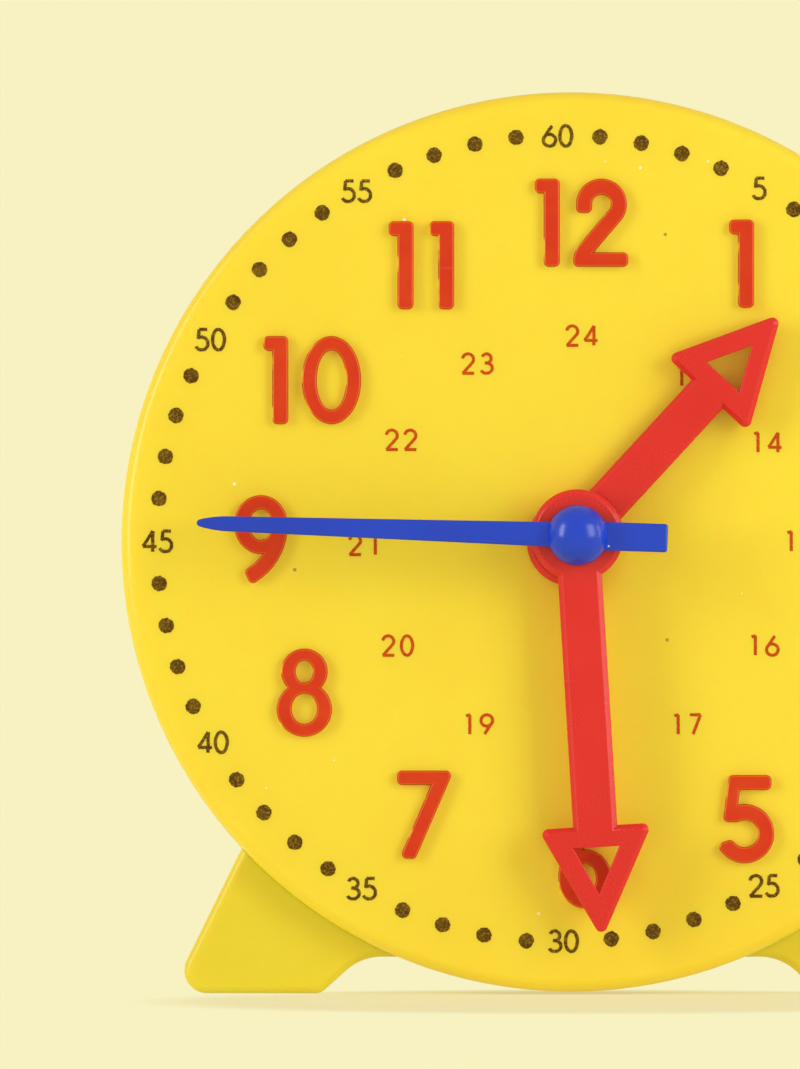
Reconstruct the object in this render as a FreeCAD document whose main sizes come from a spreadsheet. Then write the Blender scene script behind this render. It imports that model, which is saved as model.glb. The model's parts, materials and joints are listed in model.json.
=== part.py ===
import FreeCAD, Part
import math
import os

import Sketcher

# Geared teaching clock.  Millimetres, +Z up, the dial looks along -Y, the origin is on the
# table under the middle of the clock.  "Depth" is counted from the dial's front face towards
# the back (+Y), so what stands in front of the dial has a negative depth.

VECTOR = FreeCAD.Vector

# Driving dimensions (alias, value), in millimetres, degrees or tooth counts.
SIZES = [
    # casing
    ("dial_radius", "51"),
    ("dial_edge_round", "1.7"),
    ("dial_thickness", "2.4"),
    ("skirt_wall", "2"),
    ("floor_gap", "0.3"),
    ("cover_thickness", "2"),
    ("cover_fit_gap", "0.15"),
    ("cover_room", "0.6"),
    ("cover_edge_round", "0.4"),
    # raised hour numerals
    ("numeral_tall", "10"),
    ("numeral_relief", "0.8"),
    ("numeral_stroke", "1.85"),
    ("numeral_corner", "0.6"),
    ("numeral_ring", "36.35"),
    ("numeral_off_x", "1.2"),
    ("numeral_off_z", "-0.1"),
    # arbors, tubes and clearances
    ("arbor_off_x", "0.62"),
    ("arbor_off_z", "0.76"),
    ("second_arbor_radius", "1.2"),
    ("minute_arbor_wall", "0.95"),
    ("hour_tube_wall", "1"),
    ("dial_boss_wall", "3"),
    ("dial_boss_depth", "1.6"),
    ("bearing_boss_radius", "5"),
    ("running_gap", "0.05"),
    ("end_float", "0.1"),
    ("washer_thickness", "0.4"),
    ("washer_rim", "2"),
    # wheel train
    ("gear_module", "0.7"),
    ("minute_teeth", "15"),
    ("idler_wheel_teeth", "45"),
    ("idler_pinion_teeth", "12"),
    ("pinion_addendum", "1"),
    ("wheel_addendum", "0.75"),
    ("gear_dedendum", "1.25"),
    ("pressure_angle", "20"),
    ("tooth_slack", "0.14"),
    ("wheel_thickness", "1.8"),
    ("pinion_face", "2.2"),
    ("face_margin", "0.2"),
    ("wheel_web", "1"),
    ("wheel_rim", "2"),
    ("wheel_hub_wall", "2.2"),
    ("idler_pin_radius", "1.5"),
    ("idler_boss_wall", "1.7"),
    ("idler_direction", "90"),
    ("clip_thickness", "0.5"),
    ("clip_groove_depth", "0.4"),
    ("clip_radius", "2.8"),
    ("clip_mouth", "1.9"),
    ("pin_nose", "0.4"),
    # hands
    ("hub_gap", "0.3"),
    ("hand_gap", "0.35"),
    ("hand_lift", "0.15"),
    ("hand_thickness", "1.5"),
    ("hand_bevel", "0.55"),
    ("hand_corner", "0.7"),
    ("hour_angle", "42.7"),
    ("hour_reach", "34.1"),
    ("hour_head", "12.4"),
    ("hour_head_width", "12.7"),
    ("hour_shaft_width", "4.8"),
    ("hour_hub_radius", "5"),
    ("hour_hub_set_back", "1"),
    ("hour_window_band", "2.6"),
    ("hour_window", "4.9"),
    ("hour_window_width", "5"),
    ("minute_angle", "176.5"),
    ("minute_reach", "45.7"),
    ("minute_head", "12.8"),
    ("minute_head_width", "12.9"),
    ("minute_shaft_width", "5"),
    ("minute_hub_radius", "5.2"),
    ("minute_hub_set_back", "0"),
    ("minute_window_band", "2.35"),
    ("minute_window", "5.3"),
    ("minute_window_width", "5.25"),
    ("second_angle", "271.88"),
    ("second_reach", "42.95"),
    ("second_point", "3"),
    ("second_point_width", "1.7"),
    ("second_root_width", "2.85"),
    ("second_tail", "10.15"),
    ("second_tail_width", "3.22"),
    ("second_thickness", "1.2"),
    ("second_lift", "0.3"),
    ("second_bevel", "0.2"),
    ("second_corner", "0.35"),
    ("dome_radius", "3.4"),
    ("dome_height", "2.6"),
    ("dome_skin", "1.4"),
    # knobs behind the clock
    ("spring_room", "0.8"),
    ("spring_gauge", "0.3"),
    ("spring_radius", "5.4"),
    ("knob_radius", "8"),
    ("knob_length", "7"),
    ("knob_round", "0.8"),
    ("knob_flutes", "16"),
    ("knob_flute_radius", "1.1"),
    ("knob_flute_depth", "0.6"),
    ("knob_end_skin", "1"),
    ("knob_gap", "0.4"),
    ("second_knob_radius", "4.4"),
    ("second_knob_length", "4.5"),
    ("second_knob_round", "0.6"),
    ("second_knob_skin", "1.2"),
    ("second_knob_flutes", "12"),
    ("second_knob_flute_radius", "0.8"),
    ("second_knob_flute_depth", "0.4"),
    # screws
    ("screw_radius", "1.25"),
    ("screw_hole_gap", "0.25"),
    ("screw_length", "7"),
    ("screw_point", "1.2"),
    ("screw_head_radius", "2.4"),
    ("screw_head_height", "1.5"),
    ("screw_head_round", "0.6"),
    ("screw_cross_width", "0.6"),
    ("screw_cross_length", "2.6"),
    ("screw_cross_depth", "0.8"),
    ("screw_boss_wall", "2.15"),
    ("cover_screw_inset", "8.5"),
    ("cover_screw_first", "15"),
    ("cover_screw_step", "50"),
    ("cover_screw_count", "4"),
    ("stand_screw_x", "16"),
    ("stand_screw_drop", "30"),
    # stand
    ("stand_wall", "2.2"),
    ("stand_near", "3.5"),
    ("stand_depth", "37.5"),
    ("stand_top", "38"),
    ("stand_top_depth", "19"),
    ("stand_inset", "5.5"),
    ("stand_slope", "26.2"),
    ("stand_corner_round", "2.6"),
    ("stand_top_round", "6"),
    ("stand_rib", "1.8"),
    ("stand_edge_round", "1"),
    ("cradle_gap", "0.05"),
    ("arch_rise", "4.15"),
    ("arch_inset", "22.6"),
    ("arch_slope", "42"),
    ("arch_crest_round", "6"),
    ("arch_foot_round", "1.5"),
]

# Places worked out from the driving dimensions (alias, formula).  "near" is the end of a
# piece towards the viewer of the dial, "far" the end towards the back.
LAYOUT = [
    ("minute_bore", "Sizes.second_arbor_radius + Sizes.running_gap"),
    ("minute_arbor_radius", "minute_bore + Sizes.minute_arbor_wall"),
    ("hour_bore", "minute_arbor_radius + Sizes.running_gap"),
    ("hour_tube_radius", "hour_bore + Sizes.hour_tube_wall"),
    ("dial_bore", "hour_tube_radius + Sizes.running_gap"),
    ("dial_boss_radius", "dial_bore + Sizes.dial_boss_wall"),
    ("washer_radius", "minute_arbor_radius + Sizes.washer_rim"),
    # stack behind the dial
    ("dial_boss_far", "Sizes.dial_thickness + Sizes.dial_boss_depth"),
    ("hour_wheel_near", "dial_boss_far + Sizes.end_float"),
    ("hour_wheel_far", "hour_wheel_near + Sizes.wheel_thickness"),
    ("thrust_near", "hour_wheel_far + Sizes.end_float"),
    ("minute_pinion_near", "thrust_near + Sizes.washer_thickness"),
    ("minute_pinion_far", "minute_pinion_near + Sizes.pinion_face"),
    ("idler_wheel_near", "minute_pinion_near + Sizes.face_margin"),
    ("idler_wheel_far", "idler_wheel_near + Sizes.wheel_thickness"),
    ("idler_pinion_near", "hour_wheel_near - Sizes.face_margin"),
    ("bearing_near", "minute_pinion_far + Sizes.end_float"),
    ("idler_boss_near", "idler_wheel_far + Sizes.end_float"),
    ("cover_near", "minute_pinion_far + Sizes.cover_room"),
    ("cover_far", "cover_near + Sizes.cover_thickness"),
    ("cover_radius", "Sizes.dial_radius - Sizes.skirt_wall - Sizes.cover_fit_gap"),
    ("clip_far", "idler_pinion_near - Sizes.end_float"),
    ("clip_near", "clip_far - Sizes.clip_thickness"),
    ("pin_near", "clip_near - Sizes.pin_nose"),
    ("idler_bore", "Sizes.idler_pin_radius + Sizes.running_gap"),
    ("groove_radius", "Sizes.idler_pin_radius - Sizes.clip_groove_depth"),
    # stack in front of the dial
    ("hour_hub_far", "-Sizes.hub_gap"),
    ("hour_blade_far", "-(Sizes.numeral_relief + Sizes.hand_gap)"),
    ("hour_blade_near", "hour_blade_far - Sizes.hand_thickness"),
    ("hour_hub_near", "hour_blade_near"),
    ("front_washer_far", "hour_hub_near - Sizes.end_float"),
    ("minute_hub_far", "front_washer_far - Sizes.washer_thickness"),
    ("minute_blade_far", "minute_hub_far - Sizes.hand_lift"),
    ("minute_blade_near", "minute_blade_far - Sizes.hand_thickness"),
    ("minute_hub_near", "minute_blade_near"),
    ("second_hub_far", "minute_hub_near - Sizes.end_float"),
    ("second_blade_far", "second_hub_far - Sizes.second_lift"),
    ("second_blade_near", "second_blade_far - Sizes.second_thickness"),
    ("dome_near", "second_blade_near - Sizes.dome_height"),
    ("second_arbor_near", "dome_near + Sizes.dome_skin"),
    # stack behind the cover
    ("spring_near", "cover_far + Sizes.end_float"),
    ("knob_near", "cover_far + Sizes.spring_room"),
    ("knob_far", "knob_near + Sizes.knob_length"),
    ("minute_arbor_far", "knob_far - Sizes.knob_end_skin"),
    ("second_knob_near", "knob_far + Sizes.knob_gap"),
    ("second_knob_far", "second_knob_near + Sizes.second_knob_length"),
    ("second_arbor_far", "second_knob_far - Sizes.second_knob_skin"),
    ("screw_hole_radius", "Sizes.screw_radius + Sizes.screw_hole_gap"),
    ("screw_boss_radius", "Sizes.screw_radius + Sizes.screw_boss_wall"),
    ("screw_tip", "cover_far - Sizes.screw_length"),
    ("web_far", "cover_far + Sizes.stand_wall"),
    ("stand_far", "Sizes.stand_near + Sizes.stand_depth"),
    # what keeps its distance from the casing's edge
    ("cover_screw_ring", "Sizes.dial_radius - Sizes.cover_screw_inset"),
    ("stand_half_width", "Sizes.dial_radius - Sizes.stand_inset"),
    ("arch_half_width", "Sizes.dial_radius - Sizes.arch_inset"),
    # where the depths and the centres lie in the clock's own frame
    ("face_y", "-(stand_far + dome_near) / 2"),
    ("disc_z", "Sizes.dial_radius + Sizes.floor_gap"),
    ("arbor_z", "disc_z + Sizes.arbor_off_z"),
    # wheel train
    ("hour_teeth", "Sizes.minute_teeth + Sizes.idler_wheel_teeth - Sizes.idler_pinion_teeth"),
    ("centre_distance", "Sizes.gear_module * (Sizes.minute_teeth + Sizes.idler_wheel_teeth) / 2"),
    ("idler_off_x", "Sizes.arbor_off_x + centre_distance * cos(Sizes.idler_direction * 1 deg)"),
    ("idler_off_z", "Sizes.arbor_off_z + centre_distance * sin(Sizes.idler_direction * 1 deg)"),
]

doc = FreeCAD.newDocument("teaching_clock")
sheet = doc.addObject("Spreadsheet::Sheet", "Sizes")
layout = doc.addObject("Spreadsheet::Sheet", "Layout")
parts = []


def fill(target, rows, lead=""):
    """Write each alias and its value, or its formula after the lead, into a sheet."""
    for row, (alias, value) in enumerate(rows, 1):
        target.set("A%d" % row, alias)
        target.set("B%d" % row, lead + value)
        target.setAlias("B%d" % row, alias)
    doc.recompute()


def value(expression):
    """The number that an expression on the two sheets stands for."""
    return float(sheet.evalExpression(expression))


def driving(name):
    """A driving dimension, read from the sheet."""
    return float(sheet.get(name))


def place(name):
    """A worked-out place, read from the layout sheet."""
    return float(layout.get(name))


def bind(target, bindings):
    """Bind properties of an object to expressions."""
    for prop, expression in bindings.items():
        target.setExpression(prop, expression)


def keep(label, target):
    """Name a finished sub-part and put it on the list of pieces to write."""
    target.Label = label
    parts.append(target)
    return target


# ---------------------------------------------------------------- sketches and features

def new_body(name, axis="disc", turn=None):
    """A body whose own origin lies on the dial's face plane, on the named axis.

    axis "disc" is the casing's centre, "arbor" the hands' axis, "idler" the idler pin.
    """
    body = doc.addObject("PartDesign::Body", name)
    body.Placement = FreeCAD.Placement(VECTOR(0, 0, 0), FreeCAD.Rotation(VECTOR(0, 1, 0), 1))
    off_x = {"disc": "0", "arbor": "Sizes.arbor_off_x", "idler": "Layout.idler_off_x"}[axis]
    off_z = {"disc": "0", "arbor": "Sizes.arbor_off_z", "idler": "Layout.idler_off_z"}[axis]
    bind(body, {
        "Placement.Base.x": off_x,
        "Placement.Base.y": "Layout.face_y",
        "Placement.Base.z": "Layout.disc_z + " + off_z,
        "Placement.Rotation.Angle": turn or "0",
    })
    return body


def origin_plane(body, role):
    """The body's own origin plane of that role."""
    return [f for f in body.Origin.OriginFeatures if f.Role == role][0]


def new_sketch(body, name, role, offset=None):
    """A sketch on an origin plane of the body, moved along its normal by an expression."""
    sketch = body.newObject("Sketcher::SketchObject", name)
    sketch.AttachmentSupport = [(origin_plane(body, role), "")]
    sketch.MapMode = "FlatFace"
    if offset:
        sketch.setExpression("AttachmentOffset.Base.z", offset)
    return sketch


def pin_point(sketch, edge, end, label, point):
    """Tie one end of a sketch edge to a pair of expressions."""
    for kind, tag, expression in (("DistanceX", "x", point[0]), ("DistanceY", "y", point[1])):
        constraint = Sketcher.Constraint(kind, -1, 1, edge, end, value(expression))
        index = sketch.addConstraint(constraint)
        sketch.renameConstraint(index, label + tag)
        sketch.setExpression("Constraints." + label + tag, expression)


def draw_polygon(sketch, points, label="p", crown=False):
    """Draw a closed outline whose corners are pairs of expressions.

    crown makes the first edge an arc whose centre is on the sketch's vertical axis.
    """
    spots = [VECTOR(value(x), value(y), 0) for x, y in points]
    first = sketch.GeometryCount
    count = len(points)
    for i in range(count):
        begin = spots[i]
        end = spots[(i + 1) % count]
        if crown and i == 0:
            rise = abs(end.y - begin.y)
            radius = (end.x ** 2 + rise ** 2) / (2 * rise)
            centre = VECTOR(0, begin.y + math.copysign(radius, end.y - begin.y), 0)
            middle = (begin + end) * 0.5 - centre
            middle = centre + middle * (radius / middle.Length)
            sketch.addGeometry(Part.Arc(begin, middle, end))
        else:
            sketch.addGeometry(Part.LineSegment(begin, end))
    start_end = []
    for i in range(count):
        start_end.append((1, 2))
    if crown:
        arc = sketch.Geometry[first]
        if (arc.StartPoint - spots[0]).Length > 1e-6:
            start_end[0] = (2, 1)
    for i in range(count):
        following = (i + 1) % count
        sketch.addConstraint(Sketcher.Constraint(
            "Coincident", first + i, start_end[i][1], first + following, start_end[following][0]))
    if crown:
        sketch.addConstraint(Sketcher.Constraint("PointOnObject", first, 3, -2))
    for i in range(count):
        pin_point(sketch, first + i, start_end[i][0], "%s%d" % (label, i), points[i])


def draw_circles(sketch, circles):
    """Draw circles, each given as three expressions: across, up and radius."""
    for i, (across, up, radius) in enumerate(circles):
        centre = VECTOR(value(across), value(up), 0)
        edge = sketch.addGeometry(Part.Circle(centre, VECTOR(0, 0, 1), value(radius)))
        pin_point(sketch, edge, 3, "c%d" % i, (across, up))
        index = sketch.addConstraint(Sketcher.Constraint("Radius", edge, value(radius)))
        sketch.renameConstraint(index, "c%dr" % i)
        sketch.setExpression("Constraints.c%dr" % i, radius)


def along_depth(body, kind, name, near, far, circles=None, polygons=None):
    """Pad or pocket outlines of the dial's plane from one depth to another."""
    sketch = new_sketch(body, name + "_sketch", "XZ_Plane", "-(" + near + ")")
    if circles:
        draw_circles(sketch, circles)
    for i, polygon in enumerate(polygons or []):
        draw_polygon(sketch, polygon, "g%d_" % i)
    feature = body.newObject("PartDesign::" + kind, name)
    feature.Profile = sketch
    feature.setExpression("Length", "(" + far + ") - (" + near + ")")
    feature.Reversed = kind == "Pad"
    sketch.Visibility = False
    doc.recompute()
    return feature


def slab(body, name, near, far, circles=None, polygons=None):
    """Add material between two depths."""
    return along_depth(body, "Pad", name, near, far, circles, polygons)


def well(body, name, near, far, circles=None, polygons=None):
    """Take material away between two depths."""
    return along_depth(body, "Pocket", name, near, far, circles, polygons)


def turned(body, name, points, crown=False, lift=None):
    """Revolve a (radius, depth) outline about the body's depth axis, or one lifted off it."""
    sketch = new_sketch(body, name + "_sketch", "XY_Plane", lift)
    draw_polygon(sketch, points, "p", crown)
    feature = body.newObject("PartDesign::Revolution", name)
    feature.Profile = sketch
    feature.ReferenceAxis = (sketch, ["V_Axis"])
    feature.Angle = 360
    doc.recompute()
    return feature


def ring_points(inner, outer, near, far):
    """The (radius, depth) corners of a plain ring or bush."""
    return [(inner, near), (outer, near), (outer, far), (inner, far)]


def edges_at(shape, test):
    """Names of the edges for which every end point and the middle pass a test."""
    names = []
    for i, edge in enumerate(shape.Edges, 1):
        first, last = edge.ParameterRange
        spots = [edge.valueAt(first), edge.valueAt(last), edge.valueAt((first + last) / 2)]
        if all(test(spot) for spot in spots):
            names.append("Edge%d" % i)
    return names


def dress_edges(body, kind, name, base, size, test):
    """Fillet or chamfer the edges of a feature that pass a test in the body's own frame."""
    feature = body.newObject("PartDesign::" + kind, name)
    feature.Base = (base, edges_at(base.Shape, test))
    feature.setExpression("Radius" if kind == "Fillet" else "Size", size)
    doc.recompute()
    return feature


def at_depth(depth, least_radius=0.0, most_radius=math.inf):
    """A test for points at one depth and within a band of radii about the body's axis."""
    def test(spot):
        radius = math.hypot(spot.x, spot.z)
        return abs(spot.y - depth) < 1e-4 and least_radius - 1e-4 <= radius <= most_radius + 1e-4
    return test


# ---------------------------------------------------------------- outlines made of lines and arcs

def rounded_wire(corners, depth=0.0):
    """A closed wire in the dial's plane from (x, z, corner radius) triples."""
    points = [VECTOR(x, depth, z) for x, z, radius in corners]
    count = len(points)
    ends = []
    for i, (x, z, radius) in enumerate(corners):
        here = points[i]
        before = (points[i - 1] - here).normalize()
        after = (points[(i + 1) % count] - here).normalize()
        if radius <= 0:
            ends.append((here, here, None))
            continue
        half = before.getAngle(after) / 2
        leg = radius / math.tan(half)
        bisector = (before + after).normalize()
        apex = here + bisector * (radius / math.sin(half) - radius)
        ends.append((here + before * leg, here + after * leg, apex))
    edges = []
    for i in range(count):
        start, stop, apex = ends[i]
        if apex:
            edges.append(Part.Arc(start, apex, stop).toShape())
        following = ends[(i + 1) % count][0]
        if (following - stop).Length > 1e-6:
            edges.append(Part.LineSegment(stop, following).toShape())
    return Part.Wire(edges)


def sideways(points):
    """The same closed outline with its left half mirrored from the right half."""
    return points + [(-x, z, radius) for x, z, radius in reversed(points)]


def prism(wire, near, far):
    """A solid between two depths, from a wire drawn at depth zero."""
    face = Part.Face(wire)
    face.translate(VECTOR(0, near, 0))
    return face.extrude(VECTOR(0, far - near, 0))


def cylinder(radius, near, far, x=0.0, z=0.0):
    """A cylinder along the depth axis."""
    return Part.makeCylinder(radius, far - near, VECTOR(x, near, z), VECTOR(0, 1, 0))


def shape_part(label, shape, centre_x="0", centre_z="Layout.disc_z"):
    """A finished sub-part from a shape whose own origin lies on the face plane."""
    feature = doc.addObject("Part::Feature", label + "_shape")
    feature.Shape = shape
    bind(feature, {
        "Placement.Base.x": centre_x,
        "Placement.Base.y": "Layout.face_y",
        "Placement.Base.z": centre_z,
    })
    return feature


# ---------------------------------------------------------------- raised numerals

# The figures are drawn on a grid of this many units from foot to head, then brought to size.
GRID_UNITS = 10.0
FIGURE_GAP = 1.5
ELEVEN_GAP = 1.75
# How far each numeral stands off its place on the ring, across and up, in millimetres.
FIGURE_SHIFTS = {
    1: (-0.1, 0.13), 2: (0, 0), 3: (0, 0), 4: (0, 0), 5: (0.39, 0.2), 6: (0.35, -0.05),
    7: (0.29, 0.71), 8: (0.05, 1.22), 9: (0, 0.42), 10: (0.95, 0.25), 11: (0, -0.05), 12: (-0.05, -0.1)}


def on_grid(name):
    """A driving dimension in grid units."""
    return driving(name) * GRID_UNITS / driving("numeral_tall")


def eased(face, radius):
    """The flat face with its outward corners rounded."""
    return face.makeOffset2D(-radius).makeOffset2D(radius).Faces[0]


def stroke_line(start, end):
    """A straight pen stroke with square ends, as a flat face."""
    half = on_grid("numeral_stroke") / 2
    along = (VECTOR(end[0], 0, end[1]) - VECTOR(start[0], 0, start[1])).normalize()
    side = VECTOR(-along.z, 0, along.x) * half
    begin = VECTOR(start[0], 0, start[1])
    stop = VECTOR(end[0], 0, end[1])
    corners = [begin + side, stop + side, stop - side, begin - side]
    return Part.Face(Part.makePolygon(corners + corners[:1]))


def stroke_arc(centre, radius, first, last):
    """A bent pen stroke, counter-clockwise from one angle to another, as a flat face."""
    half = on_grid("numeral_stroke") / 2

    def spot(reach, angle):
        turn = math.radians(angle)
        return VECTOR(centre[0] + reach * math.cos(turn), 0, centre[1] + reach * math.sin(turn))

    outer = radius + half
    inner = radius - half
    middle = (first + last) / 2
    edges = [
        Part.Arc(spot(outer, first), spot(outer, middle), spot(outer, last)).toShape(),
        Part.LineSegment(spot(outer, last), spot(inner, last)).toShape(),
        Part.Arc(spot(inner, last), spot(inner, middle), spot(inner, first)).toShape(),
        Part.LineSegment(spot(inner, first), spot(outer, first)).toShape(),
    ]
    return Part.Face(Part.Wire(edges))


def oval_face(centre, across, up):
    """A round or an upright oval, as a flat face."""
    middle = VECTOR(centre[0], 0, centre[1])
    if abs(up - across) < 1e-6:
        curve = Part.Circle(middle, VECTOR(0, -1, 0), across)
    elif up > across:
        curve = Part.Ellipse(middle + VECTOR(0, 0, up), middle + VECTOR(across, 0, 0), middle)
    else:
        curve = Part.Ellipse(middle + VECTOR(across, 0, 0), middle + VECTOR(0, 0, up), middle)
    return Part.Face(Part.Wire(curve.toShape()))


def oval_ring(centre, across, up, side_stroke, end_stroke):
    """A ring between two ovals, as a flat face."""
    return oval_face(centre, across, up).cut(
        oval_face(centre, across - side_stroke, up - end_stroke))


def polygon_face(points):
    """A flat face from (x, z) corners."""
    spots = [VECTOR(x, 0, z) for x, z in points]
    return Part.Face(Part.makePolygon(spots + spots[:1]))


def one():
    """The figure 1: an upright stem with a short square flag."""
    stroke = on_grid("numeral_stroke")
    top = GRID_UNITS
    stem_left = 1.0
    stem_right = stem_left + stroke
    flag_right = 1.5
    under_flag = top - 1.7
    stem = polygon_face([(stem_left, 0), (stem_right, 0), (stem_right, top), (stem_left, top)])
    flag = polygon_face([(0, under_flag), (flag_right, under_flag), (flag_right, top), (0, top)])
    return [stem, flag], stem_right


def two():
    """The figure 2: a round bowl with a short hook, a slanted neck and a flat foot."""
    half = on_grid("numeral_stroke") / 2
    radius = 1.98
    hook = 1.0
    neck_turn = 40.5
    width = 6.25
    foot_top = 1.65
    bowl = (0.3 + half + radius, GRID_UNITS - radius - half)
    lean = math.radians(neck_turn)
    neck = (bowl[0] + radius * math.cos(lean), bowl[1] - radius * math.sin(lean))
    ankle = (neck[0] - (neck[1] - foot_top) * math.tan(lean), foot_top)
    left_ankle = (ankle[0] - half * math.cos(lean), ankle[1] + half * math.sin(lean))
    right_ankle = (ankle[0] + half * math.cos(lean), ankle[1] - half * math.sin(lean))
    heel = polygon_face([(0, 0), (right_ankle[0], 0), right_ankle, left_ankle, (0.12, 1.55), (0, 1)])
    foot = polygon_face([(0, 0), (width, 0), (width, foot_top), (1.5, foot_top), (0, 1)])
    hook_top = (bowl[0] - radius, bowl[1])
    return [stroke_arc(bowl, radius, -neck_turn, 180), stroke_line(neck, ankle), heel, foot,
            stroke_line(hook_top, (hook_top[0], hook_top[1] - hook))], width


def three():
    """The figure 3: two bowls, the lower one larger."""
    half = on_grid("numeral_stroke") / 2
    middle = 3.0
    upper = 1.78
    upper_end = 165.0
    lower_end = -160.0
    lower = (GRID_UNITS - 2 * upper - 2 * half) / 2
    waist = half + 2 * lower
    return [stroke_arc((middle, waist + upper), upper, -90, upper_end),
            stroke_arc((middle, half + lower), lower, lower_end, 90),
            stroke_line((2.3, waist), (3.1, waist))], 2 * middle


def four():
    """The figure 4: a slanted arm, a bar and a stem."""
    top = GRID_UNITS
    stem = 3.65
    stem_right = stem + on_grid("numeral_stroke")
    bar = 2.2
    bar_top = 3.95
    width = 6.6
    outer = polygon_face([(3.5, top), (stem_right, top), (stem_right, bar_top), (width, bar_top),
                          (width, bar), (stem_right, bar), (stem_right, 0), (stem, 0), (stem, bar),
                          (0, bar), (0, 3.9)])
    return [outer.cut(polygon_face([(2.17, bar_top), (stem, bar_top), (stem, 6.5)]))], width


def five():
    """The figure 5: a flag, a leaning stem and an open bowl."""
    top = GRID_UNITS
    radius = 2.44
    bowl = (3.0, radius + on_grid("numeral_stroke") / 2)
    hook_end = -158.0
    shoulder = 125.0
    under_flag = top - 1.7
    flag = polygon_face([(1.3, top), (6.05, top), (6.05, under_flag), (1.3, under_flag)])
    stem = polygon_face([(1.2, top), (2.5, top), (2.45, 8.2), (2.25, 6.3), (2.13, 4.65), (0.5, 4.65)])
    return [stroke_arc(bowl, radius, hook_end, shoulder), flag, stem], 6.3


def nine():
    """The figure 9: an oval bowl and a long bent tail."""
    bowl_across = 3.06
    bowl_up = 3.35
    tail = 6.68
    tail_top = 6.6
    tail_end = -63.5
    right = 2 * bowl_across
    bowl = oval_ring((bowl_across, GRID_UNITS - bowl_up), bowl_across, bowl_up, 1.85, 1.6)
    bend = (right - on_grid("numeral_stroke") / 2 - tail, tail_top)
    end = eased(stroke_arc(bend, tail, tail_end, 0), on_grid("numeral_corner"))
    return [bowl, end, stroke_arc(bend, tail, tail_end / 2, 0)], right


def six():
    """The figure 6: the figure 9 turned upside down."""
    strokes, width = nine()
    centre = VECTOR(width / 2, 0, GRID_UNITS / 2)
    for stroke in strokes:
        stroke.rotate(centre, VECTOR(0, 1, 0), 180)
    return strokes, width


def seven():
    """The figure 7: a flat bar and a slanted leg."""
    top = GRID_UNITS
    width = 6.14
    under_bar = top - 1.65
    return [polygon_face([(0, top), (width, top), (width, top - 0.75), (2.12, 0), (0.24, 0),
                          (3.82, under_bar), (0, under_bar)])], width


def eight():
    """The figure 8: a small ring on a larger ring."""
    middle = 3.15
    small_up = 2.62
    large_up = 3.1
    upper = (middle, GRID_UNITS - small_up)
    lower = (middle, large_up)
    solid = oval_face(upper, 2.66, small_up).fuse(oval_face(lower, middle, large_up))
    holes = [oval_face(upper, 0.97, 1.25), oval_face((middle, large_up + 0.08), 1.42, 1.72)]
    return [solid.cut(holes)], 2 * middle


def zero():
    """The figure 0: a tall oval ring."""
    across = 3.38
    up = GRID_UNITS / 2
    return [oval_ring((across, up), across, up, 1.72, 1.64)], 2 * across


FIGURES = {"0": zero, "1": one, "2": two, "3": three, "4": four, "5": five,
           "6": six, "7": seven, "8": eight, "9": nine}
READY_ROUND = "0689"


def raised(faces, cornered, unit):
    """One raised figure: its strokes brought to size and joined, its corners eased."""
    lift = VECTOR(0, -driving("numeral_relief"), 0)
    joined = None
    for face in faces:
        for piece in face.Faces:
            piece.scale(unit)
            block = piece.extrude(lift)
            if block.Volume < 0:
                block.reverse()
            joined = joined.fuse(block) if joined else block
    joined = joined.removeSplitter().Solids[0]
    if cornered:
        front = [face for face in joined.Faces if is_level(face, lift.y)][0]
        joined = eased(front, driving("numeral_corner")).extrude(-lift)
        if joined.Volume < 0:
            joined.reverse()
    return joined


def is_level(item, depth):
    """Whether a face or an edge lies flat at one depth."""
    box = item.BoundBox
    return abs(box.YMin - depth) < 1e-4 and abs(box.YMax - depth) < 1e-4


def numerals():
    """All twelve raised hour numerals, centred on their ring."""
    ring = driving("numeral_ring")
    unit = driving("numeral_tall") / GRID_UNITS
    solids = []
    for hour in range(1, 13):
        glyphs = [FIGURES[figure]() + (figure not in READY_ROUND,) for figure in str(hour)]
        gap = ELEVEN_GAP if hour == 11 else FIGURE_GAP
        total = sum(glyph[1] for glyph in glyphs) + gap * (len(glyphs) - 1)
        angle = math.radians(30 * hour)
        shift_x, shift_z = FIGURE_SHIFTS[hour]
        across = ring * math.sin(angle) - unit * total / 2 + driving("numeral_off_x") + shift_x
        up = ring * math.cos(angle) - driving("numeral_tall") / 2 + driving("numeral_off_z") + shift_z
        for faces, width, cornered in glyphs:
            solid = raised(faces, cornered, unit)
            solid.translate(VECTOR(across, 0, up))
            solids.append(solid)
            across += unit * (width + gap)
    return solids


# ---------------------------------------------------------------- toothed wheels

def involute_point(base, radius, offset):
    """The point of an involute flank at a radius; offset turns the flank."""
    reach = max(radius, base)
    unrolled = math.sqrt((reach / base) ** 2 - 1)
    angle = offset + unrolled - math.atan(unrolled)
    return VECTOR(radius * math.cos(angle), 0, radius * math.sin(angle))


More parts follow.
